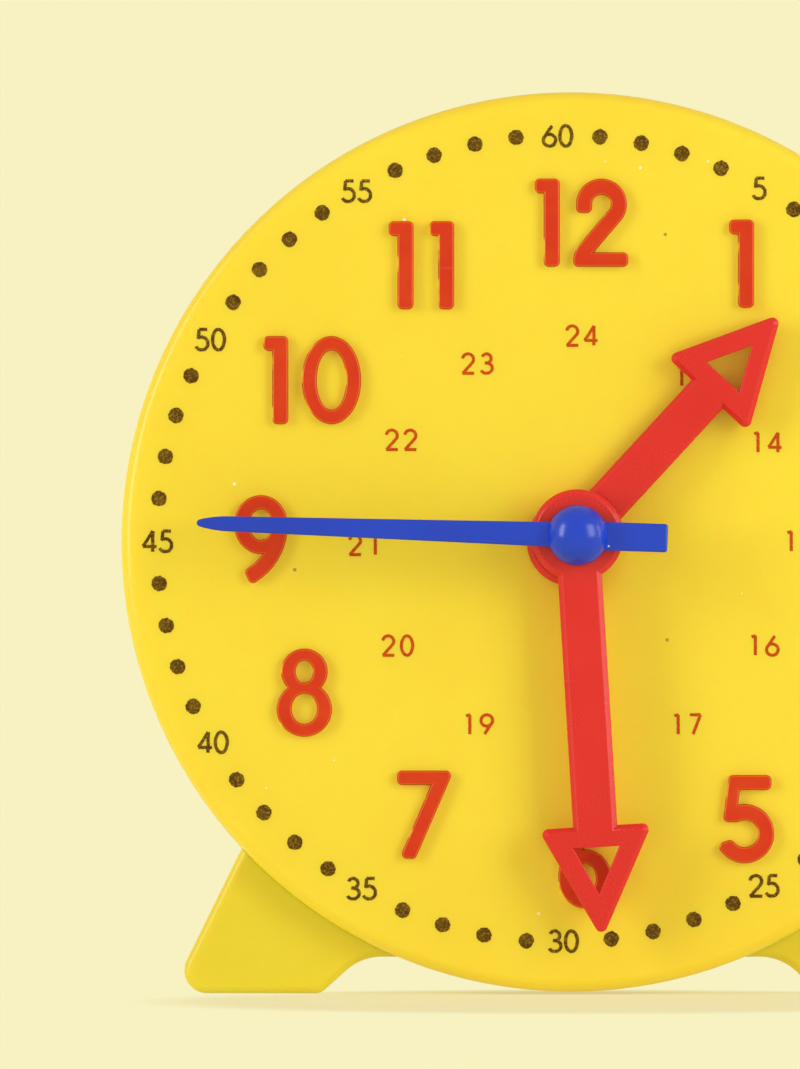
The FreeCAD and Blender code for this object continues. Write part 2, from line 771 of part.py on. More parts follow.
def toothed_wire(teeth, addendum, first_tooth):
    """The outline of a spur wheel with a tooth centred at an angle in degrees."""
    module = driving("gear_module")
    pitch = module * teeth / 2
    pressure = math.radians(driving("pressure_angle"))
    base = pitch * math.cos(pressure)
    tip = pitch + addendum * module
    root = pitch - driving("gear_dedendum") * module
    thickness = math.pi * module / 2 - driving("tooth_slack")
    half_pitch = thickness / (2 * pitch) + math.tan(pressure) - pressure
    low = max(base, root)
    edges = []
    flank = [involute_point(base, low, -half_pitch),
             involute_point(base, (low + tip) / 2, -half_pitch),
             involute_point(base, tip, -half_pitch)]
    foot_turn = math.atan2(flank[0].z, flank[0].x)
    foot = VECTOR(root * math.cos(foot_turn), 0, root * math.sin(foot_turn))
    half = math.pi / teeth
    valley = VECTOR(root * math.cos(half), 0, root * math.sin(half))

    def mirrored(spot):
        return VECTOR(spot.x, 0, -spot.z)

    def segment(start, end):
        if (end - start).Length > 1e-6:
            edges.append(Part.LineSegment(start, end).toShape())

    segment(mirrored(valley), foot)
    segment(foot, flank[0])
    edges.append(Part.Arc(flank[0], flank[1], flank[2]).toShape())
    segment(flank[2], mirrored(flank[2]))
    edges.append(Part.Arc(mirrored(flank[2]), mirrored(flank[1]), mirrored(flank[0])).toShape())
    segment(mirrored(flank[0]), mirrored(foot))
    segment(mirrored(foot), valley)
    outline = []
    for tooth in range(int(teeth)):
        turn = -(first_tooth + 360.0 * tooth / teeth)
        for edge in edges:
            copy = edge.copy()
            copy.rotate(VECTOR(0, 0, 0), VECTOR(0, 1, 0), turn)
            outline.append(copy)
    return Part.Wire(Part.sortEdges(outline)[0])


def lightened(wheel, outer, inner, near, far):
    """Thin the web of a wheel between its rim and its hub, from both sides."""
    web = driving("wheel_web")
    side = (far - near - web) / 2
    for begin, end in ((near, near + side), (far - side, far)):
        recess = cylinder(outer, begin, end).cut(cylinder(inner, begin, end))
        wheel = wheel.cut(recess)
    return wheel


# ---------------------------------------------------------------- the pieces

def make_dial():
    """The dial: a shallow moulded pan with a skirt, bosses and raised numerals."""
    body = new_body("DialPan")
    pan = turned(body, "Pan", [
        ("0", "0"), ("Sizes.dial_radius", "0"), ("Sizes.dial_radius", "Layout.cover_far"),
        ("Sizes.dial_radius - Sizes.skirt_wall", "Layout.cover_far"),
        ("Sizes.dial_radius - Sizes.skirt_wall", "Sizes.dial_thickness"),
        ("0", "Sizes.dial_thickness")])
    dress_edges(body, "Fillet", "RimRound", pan, "Sizes.dial_edge_round",
                at_depth(0, driving("dial_radius")))
    slab(body, "ArborBoss", "Sizes.dial_thickness", "Layout.dial_boss_far",
         [("Sizes.arbor_off_x", "Sizes.arbor_off_z", "Layout.dial_boss_radius")])
    slab(body, "ScrewBosses", "Sizes.dial_thickness", "Layout.cover_near",
         [(x, z, "Layout.screw_boss_radius") for x, z in cover_screw_spots() + stand_screw_spots()])
    well(body, "ArborBore", "-1", "Layout.dial_boss_far + 1",
         [("Sizes.arbor_off_x", "Sizes.arbor_off_z", "Layout.dial_bore")])
    well(body, "PilotHoles", "Layout.screw_tip", "Layout.cover_near",
         [(x, z, "Sizes.screw_radius") for x, z in cover_screw_spots() + stand_screw_spots()])
    figures = shape_part("Numerals", Part.makeCompound(numerals()))
    dial = doc.addObject("Part::MultiFuse", "Dial")
    dial.Shapes = [body, figures]
    return keep("dial", dial)


def cover_screw_spots():
    """Where the cover's screws stand, as pairs of expressions about the casing's centre."""
    spots = []
    for i in range(int(driving("cover_screw_count"))):
        angle = "(Sizes.cover_screw_first + %d * Sizes.cover_screw_step) * 1 deg" % i
        spots.append(("Layout.cover_screw_ring * cos(%s)" % angle,
                      "Layout.cover_screw_ring * sin(%s)" % angle))
    return spots


def stand_screw_spots():
    """Where the stand's screws stand, as pairs of expressions about the casing's centre."""
    return [("-Sizes.stand_screw_x", "-Sizes.stand_screw_drop"),
            ("Sizes.stand_screw_x", "-Sizes.stand_screw_drop")]


def make_cover():
    """The back cover: a flat disc inside the skirt, with the two bearing bosses."""
    body = new_body("BackCover")
    plate = slab(body, "Plate", "Layout.cover_near", "Layout.cover_far",
                 [("0", "0", "Layout.cover_radius")])
    dress_edges(body, "Fillet", "PlateRound", plate, "Sizes.cover_edge_round",
                at_depth(place("cover_far"), place("cover_radius")))
    slab(body, "BearingBoss", "Layout.bearing_near", "Layout.cover_near + Sizes.cover_thickness / 2",
         [("Sizes.arbor_off_x", "Sizes.arbor_off_z", "Sizes.bearing_boss_radius")])
    slab(body, "IdlerBoss", "Layout.idler_boss_near", "Layout.cover_near + Sizes.cover_thickness / 2",
         [("Layout.idler_off_x", "Layout.idler_off_z", "Sizes.idler_pin_radius + Sizes.idler_boss_wall")])
    bores = [("Sizes.arbor_off_x", "Sizes.arbor_off_z", "Layout.hour_bore"),
             ("Layout.idler_off_x", "Layout.idler_off_z", "Sizes.idler_pin_radius")]
    screws = [(x, z, "Layout.screw_hole_radius") for x, z in cover_screw_spots() + stand_screw_spots()]
    well(body, "Holes", "Layout.idler_boss_near - 1", "Layout.cover_far + 1", bores + screws)
    return keep("back_cover", body)


def hand_outline(prefix):
    """The arrow of the hour or minute hand, as pairs of expressions, pointing up."""
    shaft = "Sizes.%s_shaft_width / 2" % prefix
    wing = "Sizes.%s_head_width / 2" % prefix
    base = "Sizes.%s_reach - Sizes.%s_head" % (prefix, prefix)
    tip = "Sizes.%s_reach" % prefix
    return [("-" + shaft, "0"), (shaft, "0"), (shaft, base), (wing, base), ("0", tip),
            ("-" + wing, base), ("-" + shaft, base)]


def window_outline(prefix):
    """The open triangle in an arrow head, as pairs of expressions."""
    base = "Sizes.%s_reach - Sizes.%s_head + Sizes.%s_window_band" % (prefix, prefix, prefix)
    half = "Sizes.%s_window_width / 2" % prefix
    return [("-" + half, base), (half, base), ("0", base + " + Sizes.%s_window" % prefix)]


def make_arrow_hand(prefix, bore):
    """The hour or the minute hand: a bevelled arrow with a plain window, on a round hub."""
    near = "Layout.%s_blade_near" % prefix
    far = "Layout.%s_blade_far" % prefix
    hub_near = "Layout.%s_hub_near" % prefix
    hub_far = "Layout.%s_hub_far" % prefix
    hub_radius = "Sizes.%s_hub_radius" % prefix
    body = new_body(prefix.capitalize() + "Hand", "arbor", "Sizes.%s_angle" % prefix)
    blade = slab(body, "Blade", near, far, polygons=[hand_outline(prefix)])
    base = driving(prefix + "_reach") - driving(prefix + "_head")
    wing = driving(prefix + "_head_width") / 2

    def is_corner(spot):
        at_wing = abs(abs(spot.x) - wing) < 1e-4 and abs(spot.z - base) < 1e-4
        at_tip = abs(spot.x) < 1e-4 and abs(spot.z - driving(prefix + "_reach")) < 1e-4
        return at_wing or at_tip

    rounded = dress_edges(body, "Fillet", "Corners", blade, "Sizes.hand_corner", is_corner)
    depth = value(near)
    dress_edges(body, "Chamfer", "Bevel", rounded, "Sizes.hand_bevel",
                lambda spot: abs(spot.y - depth) < 1e-4)
    well(body, "Window", near + " - 1", far + " + 1", polygons=[window_outline(prefix)])
    turned(body, "Hub", [
        ("0", hub_near), (hub_radius + " - Sizes.hand_bevel", hub_near),
        (hub_radius, hub_near + " + Sizes.hand_bevel"), (hub_radius, hub_far), ("0", hub_far)],
        lift="-Sizes.%s_hub_set_back" % prefix)
    well(body, "Bore", hub_near + " - 1", hub_far + " + 1", [("0", "0", bore)])
    return keep(prefix + "_hand", body)


# The second hand's nose from shoulder to tip: shares of the point's half width and length.
NOSE = [(1, 1), (0.87, 0.64), (0.65, 0.28), (0.45, 0.08), (0.22, 0)]


def make_second_hand():
    """The second hand: a slim tapered pointer with a square tail and a domed cap."""
    body = new_body("SecondHand", "arbor", "Sizes.second_angle")
    point = "Sizes.second_point_width / 2"
    root = "Sizes.second_root_width / 2"
    tail = "Sizes.second_tail_width / 2"
    right = [(tail, "-Sizes.second_tail"), (tail, "0"), (root, "Sizes.dome_radius / 2")]
    right += [("%s * %g" % (point, across), "Sizes.second_reach - Sizes.second_point * %g" % down)
              for across, down in NOSE]
    left = [("-" + across, up) for across, up in reversed(right)]
    blade = slab(body, "Blade", "Layout.second_blade_near", "Layout.second_blade_far",
                 polygons=[right + left])

    def is_end(spot):
        return abs(spot.z + driving("second_tail")) < 1e-4

    upright = [name for name in edges_at(blade.Shape, is_end)
               if abs(blade.Shape.getElement(name).tangentAt(0).y) > 0.9]
    ends = body.newObject("PartDesign::Fillet", "Ends")
    ends.Base = (blade, upright)
    ends.setExpression("Radius", "Sizes.second_corner")
    doc.recompute()
    depth = place("second_blade_near")
    dress_edges(body, "Chamfer", "Bevel", ends, "Sizes.second_bevel",
                lambda spot: abs(spot.y - depth) < 1e-4)
    turned(body, "Dome", [
        ("0", "Layout.dome_near"), ("Sizes.dome_radius", "Layout.second_blade_near"),
        ("Sizes.dome_radius", "Layout.second_hub_far"), ("0", "Layout.second_hub_far")], crown=True)
    well(body, "Bore", "Layout.second_arbor_near", "Layout.second_hub_far",
         [("0", "0", "Sizes.second_arbor_radius")])
    return keep("second_hand", body)


def make_washer(label, near, far):
    """A flat washer on the minute arbor."""
    body = new_body(label.title().replace("_", ""), "arbor")
    turned(body, "Ring", ring_points("Layout.minute_arbor_radius", "Layout.washer_radius", near, far))
    return keep(label, body)


def make_minute_arbor():
    """The hollow minute arbor, from the minute hand's hub to the setting knob."""
    body = new_body("MinuteArbor", "arbor")
    turned(body, "Tube", ring_points("Layout.minute_bore", "Layout.minute_arbor_radius",
                                     "Layout.minute_hub_near", "Layout.minute_arbor_far"))
    return keep("minute_arbor", body)


def make_second_arbor():
    """The thin steel arbor of the second hand, right through the clock."""
    rod = doc.addObject("Part::Cylinder", "SecondArbor")
    rod.Placement = FreeCAD.Placement(VECTOR(0, 0, 0), FreeCAD.Rotation(VECTOR(-1, 0, 0), 90))
    bind(rod, {
        "Radius": "Sizes.second_arbor_radius",
        "Height": "Layout.second_arbor_far - Layout.second_arbor_near",
        "Placement.Base.x": "Sizes.arbor_off_x",
        "Placement.Base.y": "Layout.face_y + Layout.second_arbor_near",
        "Placement.Base.z": "Layout.arbor_z",
    })
    return keep("second_arbor", rod)


def make_knob(label, prefix, near, far, stop, bore):
    """A fluted moulded knob pressed on an arbor that ends at the depth called stop."""
    body = new_body(label.title().replace("_", ""), "arbor")
    radius = "Sizes.%s_radius" % prefix
    blank = turned(body, "Blank", [("0", near), (radius, near), (radius, far), ("0", far)])
    dress_edges(body, "Fillet", "Rounds", blank, "Sizes.%s_round" % prefix,
                lambda spot: math.hypot(spot.x, spot.z) > driving(prefix + "_radius") - 1e-4
                and min(abs(spot.y - value(near)), abs(spot.y - value(far))) < 1e-4)
    flute_radius = "Sizes.%s_flute_radius" % prefix
    flute = well(body, "Flute", near + " - 1", far + " + 1",
                 [("0", radius + " + " + flute_radius + " - Sizes.%s_flute_depth" % prefix,
                   flute_radius)])
    pattern = body.newObject("PartDesign::PolarPattern", "Flutes")
    pattern.Originals = [flute]
    pattern.Axis = ([f for f in body.Origin.OriginFeatures if f.Role == "Y_Axis"][0], [""])
    pattern.Angle = 360
    pattern.Occurrences = int(driving(prefix + "_flutes"))
    body.Tip = pattern
    doc.recompute()
    well(body, "Bore", near + " - 1", stop, [("0", "0", bore)])
    return body


def make_knobs():
    """The setting knob on the minute arbor and the small knob on the second arbor."""
    setting = make_knob("setting_knob", "knob", "Layout.knob_near", "Layout.knob_far",
                        "Layout.minute_arbor_far", "Layout.minute_arbor_radius")
    well(setting, "SecondPassage", "Layout.knob_near", "Layout.knob_far + 1",
         [("0", "0", "Layout.minute_bore")])
    keep("setting_knob", setting)
    small = make_knob("second_knob", "second_knob", "Layout.second_knob_near",
                      "Layout.second_knob_far", "Layout.second_arbor_far",
                      "Sizes.second_arbor_radius")
    keep("second_knob", small)


def make_drag_spring():
    """The dished spring washer between the cover and the setting knob."""
    body = new_body("DragSpring", "arbor")
    inner = "Layout.minute_arbor_radius + Sizes.running_gap"
    turned(body, "Dish", [
        (inner, "Layout.knob_near - Sizes.spring_gauge"), (inner, "Layout.knob_near"),
        ("Sizes.spring_radius", "Layout.spring_near + Sizes.spring_gauge"),
        ("Sizes.spring_radius", "Layout.spring_near")])
    return keep("drag_spring", body)


def make_idler_pin():
    """The steel pin that the idler turns on, pressed into the cover and grooved for its clip."""
    body = new_body("IdlerPin", "idler")
    radius = "Sizes.idler_pin_radius"
    turned(body, "Pin", [
        ("0", "Layout.pin_near"), (radius, "Layout.pin_near"), (radius, "Layout.clip_near"),
        ("Layout.groove_radius", "Layout.clip_near"), ("Layout.groove_radius", "Layout.clip_far"),
        (radius, "Layout.clip_far"), (radius, "Layout.cover_far"), ("0", "Layout.cover_far")])
    return keep("idler_pin", body)


def make_pin_clip():
    """The open retaining clip in the groove of the idler pin."""
    body = new_body("PinClip", "idler")
    turned(body, "Ring", ring_points("Layout.groove_radius", "Sizes.clip_radius",
                                     "Layout.clip_near", "Layout.clip_far"))
    half = "Sizes.clip_mouth / 2"
    well(body, "Mouth", "Layout.clip_near - 1", "Layout.clip_far + 1", polygons=[[
        ("-" + half, "0"), (half, "0"), (half, "2 * Sizes.clip_radius"),
        ("-" + half, "2 * Sizes.clip_radius")]])
    return keep("pin_clip", body)


def make_hour_wheel():
    """The hour wheel with its tube through the dial."""
    teeth = place("hour_teeth")
    near = place("hour_wheel_near")
    far = place("hour_wheel_far")
    gap_turn = driving("idler_direction") + 180.0 / teeth
    wheel = prism(toothed_wire(teeth, driving("wheel_addendum"), gap_turn), near, far)
    root = driving("gear_module") * (teeth / 2 - driving("gear_dedendum"))
    hub = place("hour_tube_radius") + driving("wheel_hub_wall")
    wheel = lightened(wheel, root - driving("wheel_rim"), hub, near, far)
    tube = cylinder(place("hour_tube_radius"), place("hour_hub_near"), near)
    shape = wheel.fuse(tube).removeSplitter()
    shape = shape.cut(cylinder(place("hour_bore"), place("hour_hub_near") - 1, far + 1))
    return keep("hour_wheel", shape_part("HourWheel", shape, "Sizes.arbor_off_x", "Layout.arbor_z"))


def make_minute_pinion():
    """The small pinion pressed on the minute arbor."""
    teeth = driving("minute_teeth")
    wire = toothed_wire(teeth, driving("pinion_addendum"), driving("idler_direction"))
    near = place("minute_pinion_near")
    far = place("minute_pinion_far")
    shape = prism(wire, near, far).cut(cylinder(place("minute_arbor_radius"), near - 1, far + 1))
    return keep("minute_pinion",
                shape_part("MinutePinion", shape, "Sizes.arbor_off_x", "Layout.arbor_z"))


def make_idler():
    """The idler: a large wheel and a small pinion moulded in one."""
    wheel_teeth = driving("idler_wheel_teeth")
    pinion_teeth = driving("idler_pinion_teeth")
    near = place("idler_wheel_near")
    far = place("idler_wheel_far")
    towards_arbor = driving("idler_direction") + 180
    wheel = prism(toothed_wire(wheel_teeth, driving("wheel_addendum"),
                               towards_arbor + 180.0 / wheel_teeth), near, far)
    root = driving("gear_module") * (wheel_teeth / 2 - driving("gear_dedendum"))
    hub = driving("gear_module") * pinion_teeth / 2 + driving("wheel_hub_wall")
    wheel = lightened(wheel, root - driving("wheel_rim"), hub, near, far)
    pinion = prism(toothed_wire(pinion_teeth, driving("pinion_addendum"), towards_arbor),
                   place("idler_pinion_near"), near)
    shape = wheel.fuse(pinion).removeSplitter()
    shape = shape.cut(cylinder(place("idler_bore"), place("idler_pinion_near") - 1, far + 1))
    return keep("idler_gear", shape_part("Idler", shape, "Layout.idler_off_x",
                                         "Layout.disc_z + Layout.idler_off_z"))


def screw_template(name, length):
    """A cross-headed screw: head behind its seat at depth zero, shank towards the front."""
    body = doc.addObject("PartDesign::Body", name)
    radius = "Sizes.screw_radius"
    blank = turned(body, "Blank", [
        ("0", "-(%s)" % length), (radius, "-(%s) + Sizes.screw_point" % length), (radius, "0"),
        ("Sizes.screw_head_radius", "0"), ("Sizes.screw_head_radius", "Sizes.screw_head_height"),
        ("0", "Sizes.screw_head_height")])
    dress_edges(body, "Fillet", "HeadRound", blank, "Sizes.screw_head_round",
                at_depth(driving("screw_head_height"), driving("screw_head_radius")))
    half = "Sizes.screw_cross_width / 2"
    arm = "Sizes.screw_cross_length / 2"
    for cut, across, up in (("CrossBar", arm, half), ("CrossPost", half, arm)):
        well(body, cut, "Sizes.screw_head_height - Sizes.screw_cross_depth",
             "Sizes.screw_head_height + 1",
             polygons=[[("-" + across, "-" + up), (across, "-" + up), (across, up),
                        ("-" + across, up)]])
    return body


def make_screws(label, template, spots, seat):
    """A set of like screws as one node: a copy of the template at each spot."""
    copies = []
    for x, z in spots:
        copy = template.Shape.copy()
        copy.translate(VECTOR(value(x), place(seat), value(z)))
        copies.append(copy)
    return keep(label, shape_part(label.title().replace("_", ""), Part.makeCompound(copies)))


def stand_corners():
    """Right half of the stand's outline, from the arch crest round to the top."""
    slope = math.tan(math.radians(driving("stand_slope")))
    top = driving("stand_top")
    width = place("stand_half_width")
    rise = driving("arch_rise")
    foot = place("arch_half_width")
    crest = foot - rise / math.tan(math.radians(driving("arch_slope")))
    return [(crest, rise, driving("arch_crest_round")),
            (foot, 0, driving("arch_foot_round")),
            (width, 0, driving("stand_corner_round")),
            (width - top * slope, top, driving("stand_top_round"))]


def make_stand():
    """The stand: a hollow moulded wedge, open at the back, that cradles the casing."""
    wall = driving("stand_wall")
    near = driving("stand_near")
    far = place("stand_far")
    web_near = place("cover_far")
    web_far = place("web_far")
    centre = place("disc_z")
    cradle = driving("dial_radius") + driving("cradle_gap")
    outline = rounded_wire(sideways(stand_corners()))
    inner = Part.Face(outline).makeOffset2D(-wall).OuterWire
    block = prism(outline, near, far)
    rim = [edge for edge in block.Edges if is_level(edge, near)]
    block = block.makeFillet(driving("stand_edge_round"), rim)
    outer = block.cut(cylinder(cradle, near - 1, web_near, 0, centre))
    hollow = prism(inner, near + wall, far + 1)
    hollow = hollow.cut(cylinder(cradle + wall, near, web_far, 0, centre))
    rib = driving("stand_rib")
    hollow = hollow.cut(Part.makeBox(rib, far, 2 * driving("stand_top"), VECTOR(-rib / 2, near, 0)))
    shell = outer.cut(hollow)
    low = VECTOR(0, far, 0)
    high = VECTOR(0, driving("stand_top_depth"), driving("stand_top"))
    along = (high - low).normalize() * 2 * driving("stand_top")
    corners = [low - along, low + along, low + along + VECTOR(0, 2 * far, 0),
               low - along + VECTOR(0, 2 * far, 0)]
    behind = Part.Face(Part.makePolygon(corners + corners[:1]))
    width = 2 * place("stand_half_width")
    behind.translate(VECTOR(-width, 0, 0))
    shell = shell.cut(behind.extrude(VECTOR(2 * width, 0, 0)))
    for x, z in stand_screw_spots():
        shell = shell.cut(cylinder(place("screw_hole_radius"), near, web_far + 1,
                                   value(x), value(z) + centre))
    return keep("stand", shape_part("Stand", shell.removeSplitter(), "0", "0"))


def check_and_write():
    """Stop on any failed object, then write one STEP file for each sub-part."""
    doc.recompute()
    for item in doc.Objects:
        if "Invalid" in item.State or "Error" in item.State:
            raise RuntimeError("%s failed: %s" % (item.Label, item.State))
    for item in parts:
        if item.Shape.isNull() or not item.Shape.isValid() or not item.Shape.Solids:
            raise RuntimeError("%s has no valid solid" % item.Label)
    os.makedirs("parts", exist_ok=True)
    for item in parts:
        item.Shape.exportStep("parts/%s.step" % item.Label)
        box = item.Shape.BoundBox
        print("%-16s %2d solid(s) %10.2f mm3   x %7.2f %7.2f  y %7.2f %7.2f  z %7.2f %7.2f" % (
            item.Label, len(item.Shape.Solids), item.Shape.Volume,
            box.XMin, box.XMax, box.YMin, box.YMax, box.ZMin, box.ZMax))


fill(sheet, SIZES)
fill(layout, LAYOUT, "=")
make_dial()
make_cover()
make_arrow_hand("hour", "Layout.hour_tube_radius")
make_arrow_hand("minute", "Layout.minute_arbor_radius")
make_second_hand()
make_hour_wheel()
make_minute_arbor()
make_minute_pinion()
make_washer("hand_washer", "Layout.minute_hub_far", "Layout.front_washer_far")
make_washer("thrust_washer", "Layout.thrust_near", "Layout.minute_pinion_near")
make_idler()
make_idler_pin()
make_pin_clip()
make_second_arbor()
make_knobs()
make_drag_spring()
make_screws("cover_screws", screw_template("CoverScrew", "Sizes.screw_length"),
            cover_screw_spots(), "cover_far")
make_screws("stand_screws", screw_template("StandScrew", "Sizes.screw_length + Sizes.stand_wall"),
            stand_screw_spots(), "web_far")
make_stand()
check_and_write()
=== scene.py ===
"""Looks of a geared teaching clock, built round its packed construction.

The dial looks along -Y, +X is to the right of somebody who reads it and +Z is up.
"""

import json
import logging
import math
import random
from collections.abc import Callable, Iterator
from contextlib import contextmanager
from dataclasses import dataclass, field
from enum import Enum

import bmesh
import bpy
from mathutils import Matrix, Vector

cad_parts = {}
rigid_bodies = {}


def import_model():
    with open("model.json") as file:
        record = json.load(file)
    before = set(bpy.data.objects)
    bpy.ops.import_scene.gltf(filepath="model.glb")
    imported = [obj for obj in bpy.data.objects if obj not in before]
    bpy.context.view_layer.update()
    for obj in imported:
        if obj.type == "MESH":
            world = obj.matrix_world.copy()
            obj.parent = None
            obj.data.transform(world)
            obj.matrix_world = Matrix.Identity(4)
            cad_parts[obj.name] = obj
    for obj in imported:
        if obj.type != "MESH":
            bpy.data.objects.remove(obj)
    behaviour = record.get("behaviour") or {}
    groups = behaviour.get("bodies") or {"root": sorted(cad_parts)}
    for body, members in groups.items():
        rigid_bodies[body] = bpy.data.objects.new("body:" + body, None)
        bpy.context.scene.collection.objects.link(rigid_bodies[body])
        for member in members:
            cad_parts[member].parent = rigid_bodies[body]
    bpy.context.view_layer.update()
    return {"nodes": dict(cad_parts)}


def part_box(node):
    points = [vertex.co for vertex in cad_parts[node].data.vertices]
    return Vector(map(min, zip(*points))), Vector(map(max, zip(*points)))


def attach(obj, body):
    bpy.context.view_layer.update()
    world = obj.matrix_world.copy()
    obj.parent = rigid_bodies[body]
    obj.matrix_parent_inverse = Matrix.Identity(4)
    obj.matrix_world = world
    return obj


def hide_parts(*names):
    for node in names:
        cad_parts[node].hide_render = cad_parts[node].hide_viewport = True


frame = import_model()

LOG = logging.getLogger("teaching_clock")
MM = 0.001

# Where the construction's flat faces lie along Y, and how exactly an edge on one has to lie.
FIGURE_RISE = 0.8 * MM
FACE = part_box("dial")[0][1] + FIGURE_RISE
COVER_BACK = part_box("back_cover")[1][1]
PLANE_SLACK = 0.01 * MM

# How a copy of a node is cleaned and rounded, and how much a face may seem to lie over itself.
WELD = 0.002 * MM
FINE_WELD = 0.001 * MM
FLAT_ANGLE = math.radians(0.6)
SHARP_ANGLE = math.radians(25)
SMOOTH_ANGLE = math.radians(32)
ROUND_PROFILE = 0.5
NORMAL_WEIGHT = 80
WIDTH_SHARES = (1.0, 0.75, 0.5, 0.25, 0.0)
FOLD_SLACK = 0.05 * MM ** 2
FOLD_SHARE = 0.0005

Spot = tuple[float, float]
Triple = tuple[float, float, float]
Colour = Triple


# ------------------------------ shader wiring

class Wire:
    """A shader socket that takes part in Python arithmetic."""

    def __init__(self, loom: "Loom", socket: bpy.types.NodeSocket) -> None:
        """Hold one output socket of a loom.

        Args:
            loom: the node tree that the socket belongs to.
            socket: the output socket.
        """
        self.loom = loom
        self.socket = socket

    def join(self, operation: str, first: "Wire | float", second: "Wire | float") -> "Wire":
        """Add a Math node.

        Args:
            operation: what the node does.
            first: its first value.
            second: its second value.

        Returns:
            The result.
        """
        return self.loom.add("ShaderNodeMath", {"operation": operation}, {0: first, 1: second})

    def __add__(self, other: "Wire | float") -> "Wire":
        """This value plus another."""
        return self.join("ADD", self, other)

    def __sub__(self, other: "Wire | float") -> "Wire":
        """This value less another."""
        return self.join("SUBTRACT", self, other)

    def __mul__(self, other: "Wire | float") -> "Wire":
        """This value times another."""
        return self.join("MULTIPLY", self, other)

    def larger(self, other: "Wire | float") -> "Wire":
        """The larger of this value and another."""
        return self.join("MAXIMUM", self, other)

    def size(self) -> "Wire":
        """This value without its sign."""
        return self.join("ABSOLUTE", self, 0.0)

    def step(self, low: float, high: float) -> "Wire":
        """A soft step.

        Args:
            low: where the step begins.
            high: where it ends; lower than low turns the step round.

        Returns:
            0 before the step and 1 after it.
        """
        ends = (low, high) if low < high else (high, low)
        rise = (0.0, 1.0) if low < high else (1.0, 0.0)
        return self.loom.add(
            "ShaderNodeMapRange", {"interpolation_type": "SMOOTHSTEP"},
            {0: self, 1: ends[0], 2: ends[1], 3: rise[0], 4: rise[1]})


class Loom:
    """A node tree, with one method that adds any node."""

    NOISE_ROUGHNESS = 0.55
    SPECK_CORE = 0.5
    DRAW_EDGE = 0.9

    def __init__(self, tree: bpy.types.NodeTree) -> None:
        """Take an emptied node tree.

        Args:
            tree: the tree to wire.
        """
        self.tree = tree
        tree.nodes.clear()

    def add(self, kind: str, settings: dict, inputs: dict,
            output: int | str = 0) -> Wire | None:
        """Add a node.

        Args:
            kind: the node's type.
            settings: its properties, set before its sockets.
            inputs: a value or a wire for each socket, by number or by name.
            output: which output to hand back.

        Returns:
            That output, or None for a node that has none.
        """
        node = self.tree.nodes.new(kind)
        for name, setting in settings.items():
            setattr(node, name, setting)
        for key, item in inputs.items():
            if isinstance(item, Wire):
                self.tree.links.new(item.socket, node.inputs[key])
            else:
                node.inputs[key].default_value = item
        return Wire(self, node.outputs[output]) if node.outputs else None

    def spot(self) -> Wire:
        """The place on the piece, in metres."""
        return self.add("ShaderNodeTexCoord", {}, {}, "Object")

    def axis(self, vector: Wire, name: str) -> Wire:
        """One axis of a vector."""
        return self.add("ShaderNodeSeparateXYZ", {}, {0: vector}, name)

    def noise(self, scale: float, detail: float = 2.0, stretch: Triple = (1.0, 1.0, 1.0),
              turn: Triple = (0.0, 0.0, 0.0), shift: float = 0.0) -> Wire:
        """Soft noise.

        Args:
            scale: how many waves there are to a metre.
            detail: how many finer layers it has.
            stretch: how much finer it is along each axis.
            turn: how it is turned, in radians.
            shift: a slide that makes it differ from its like.

        Returns:
            Values about one half.
        """
        place = self.add("ShaderNodeMapping", {"vector_type": "POINT"}, {
            "Vector": self.spot(), "Location": (shift, shift, shift), "Rotation": turn,
            "Scale": stretch})
        return self.add("ShaderNodeTexNoise", {}, {
            "Vector": place, "Scale": scale, "Detail": detail,
            "Roughness": self.NOISE_ROUGHNESS})

    def specks(self, scale: float, reach: float, share: float, shift: float) -> Wire:
        """Small separate specks.

        Args:
            scale: how many cells there are to a metre.
            reach: a speck's radius as a share of its cell.
            share: the share of the cells that hold a speck.
            shift: a slide that makes them differ from their like.

        Returns:
            1 on a speck and 0 elsewhere.
        """
        place = self.add("ShaderNodeMapping", {"vector_type": "POINT"}, {
            "Vector": self.spot(), "Location": (shift, shift, shift)})
        cell = {"Vector": place, "Scale": scale, "Randomness": 1.0}
        near = self.add("ShaderNodeTexVoronoi", {"feature": "F1"}, cell, "Distance")
        draw = self.add("ShaderNodeTexVoronoi", {"feature": "F1"}, cell, "Color")
        inside = near.step(reach, reach * self.SPECK_CORE)
        drawn = self.axis(draw, "X").step(share, share * self.DRAW_EDGE)
        return inside * drawn

    def blend(self, share: "Wire | float", first: "Wire | Colour",
              second: "Wire | Colour") -> Wire:
        """A colour between two.

        Args:
            share: how much of the second there is.
            first: the first colour.
            second: the second colour.

        Returns:
            The blend.
        """
        ends = [end if isinstance(end, Wire) else (*end, 1.0) for end in (first, second)]
        return self.add("ShaderNodeMix", {"data_type": "RGBA", "clamp_factor": True},
                        {0: share, 6: ends[0], 7: ends[1]}, 2)

    def bump(self, height: Wire, depth: float) -> Wire:
        """A normal from a height.

        Args:
            height: the height, about 0 to 1.
            depth: how deep 1 is, in metres.

        Returns:
            The normal.
        """
        return self.add("ShaderNodeBump", {}, {"Height": height, "Distance": depth,
                                               "Strength": 1.0}, "Normal")

    def principled(self, sockets: dict) -> Wire:
        """A Principled shader with these socket values and wires."""
        return self.add("ShaderNodeBsdfPrincipled", {}, sockets)

    def mix(self, share: Wire, first: Wire, second: Wire) -> Wire:
        """One shader laid over another by a share."""
        return self.add("ShaderNodeMixShader", {}, {0: share, 1: first, 2: second})

    def output(self, shader: Wire) -> None:
        """Send a shader to the surface."""
        self.add("ShaderNodeOutputMaterial", {}, {"Surface": shader})


# ------------------------------ patterns

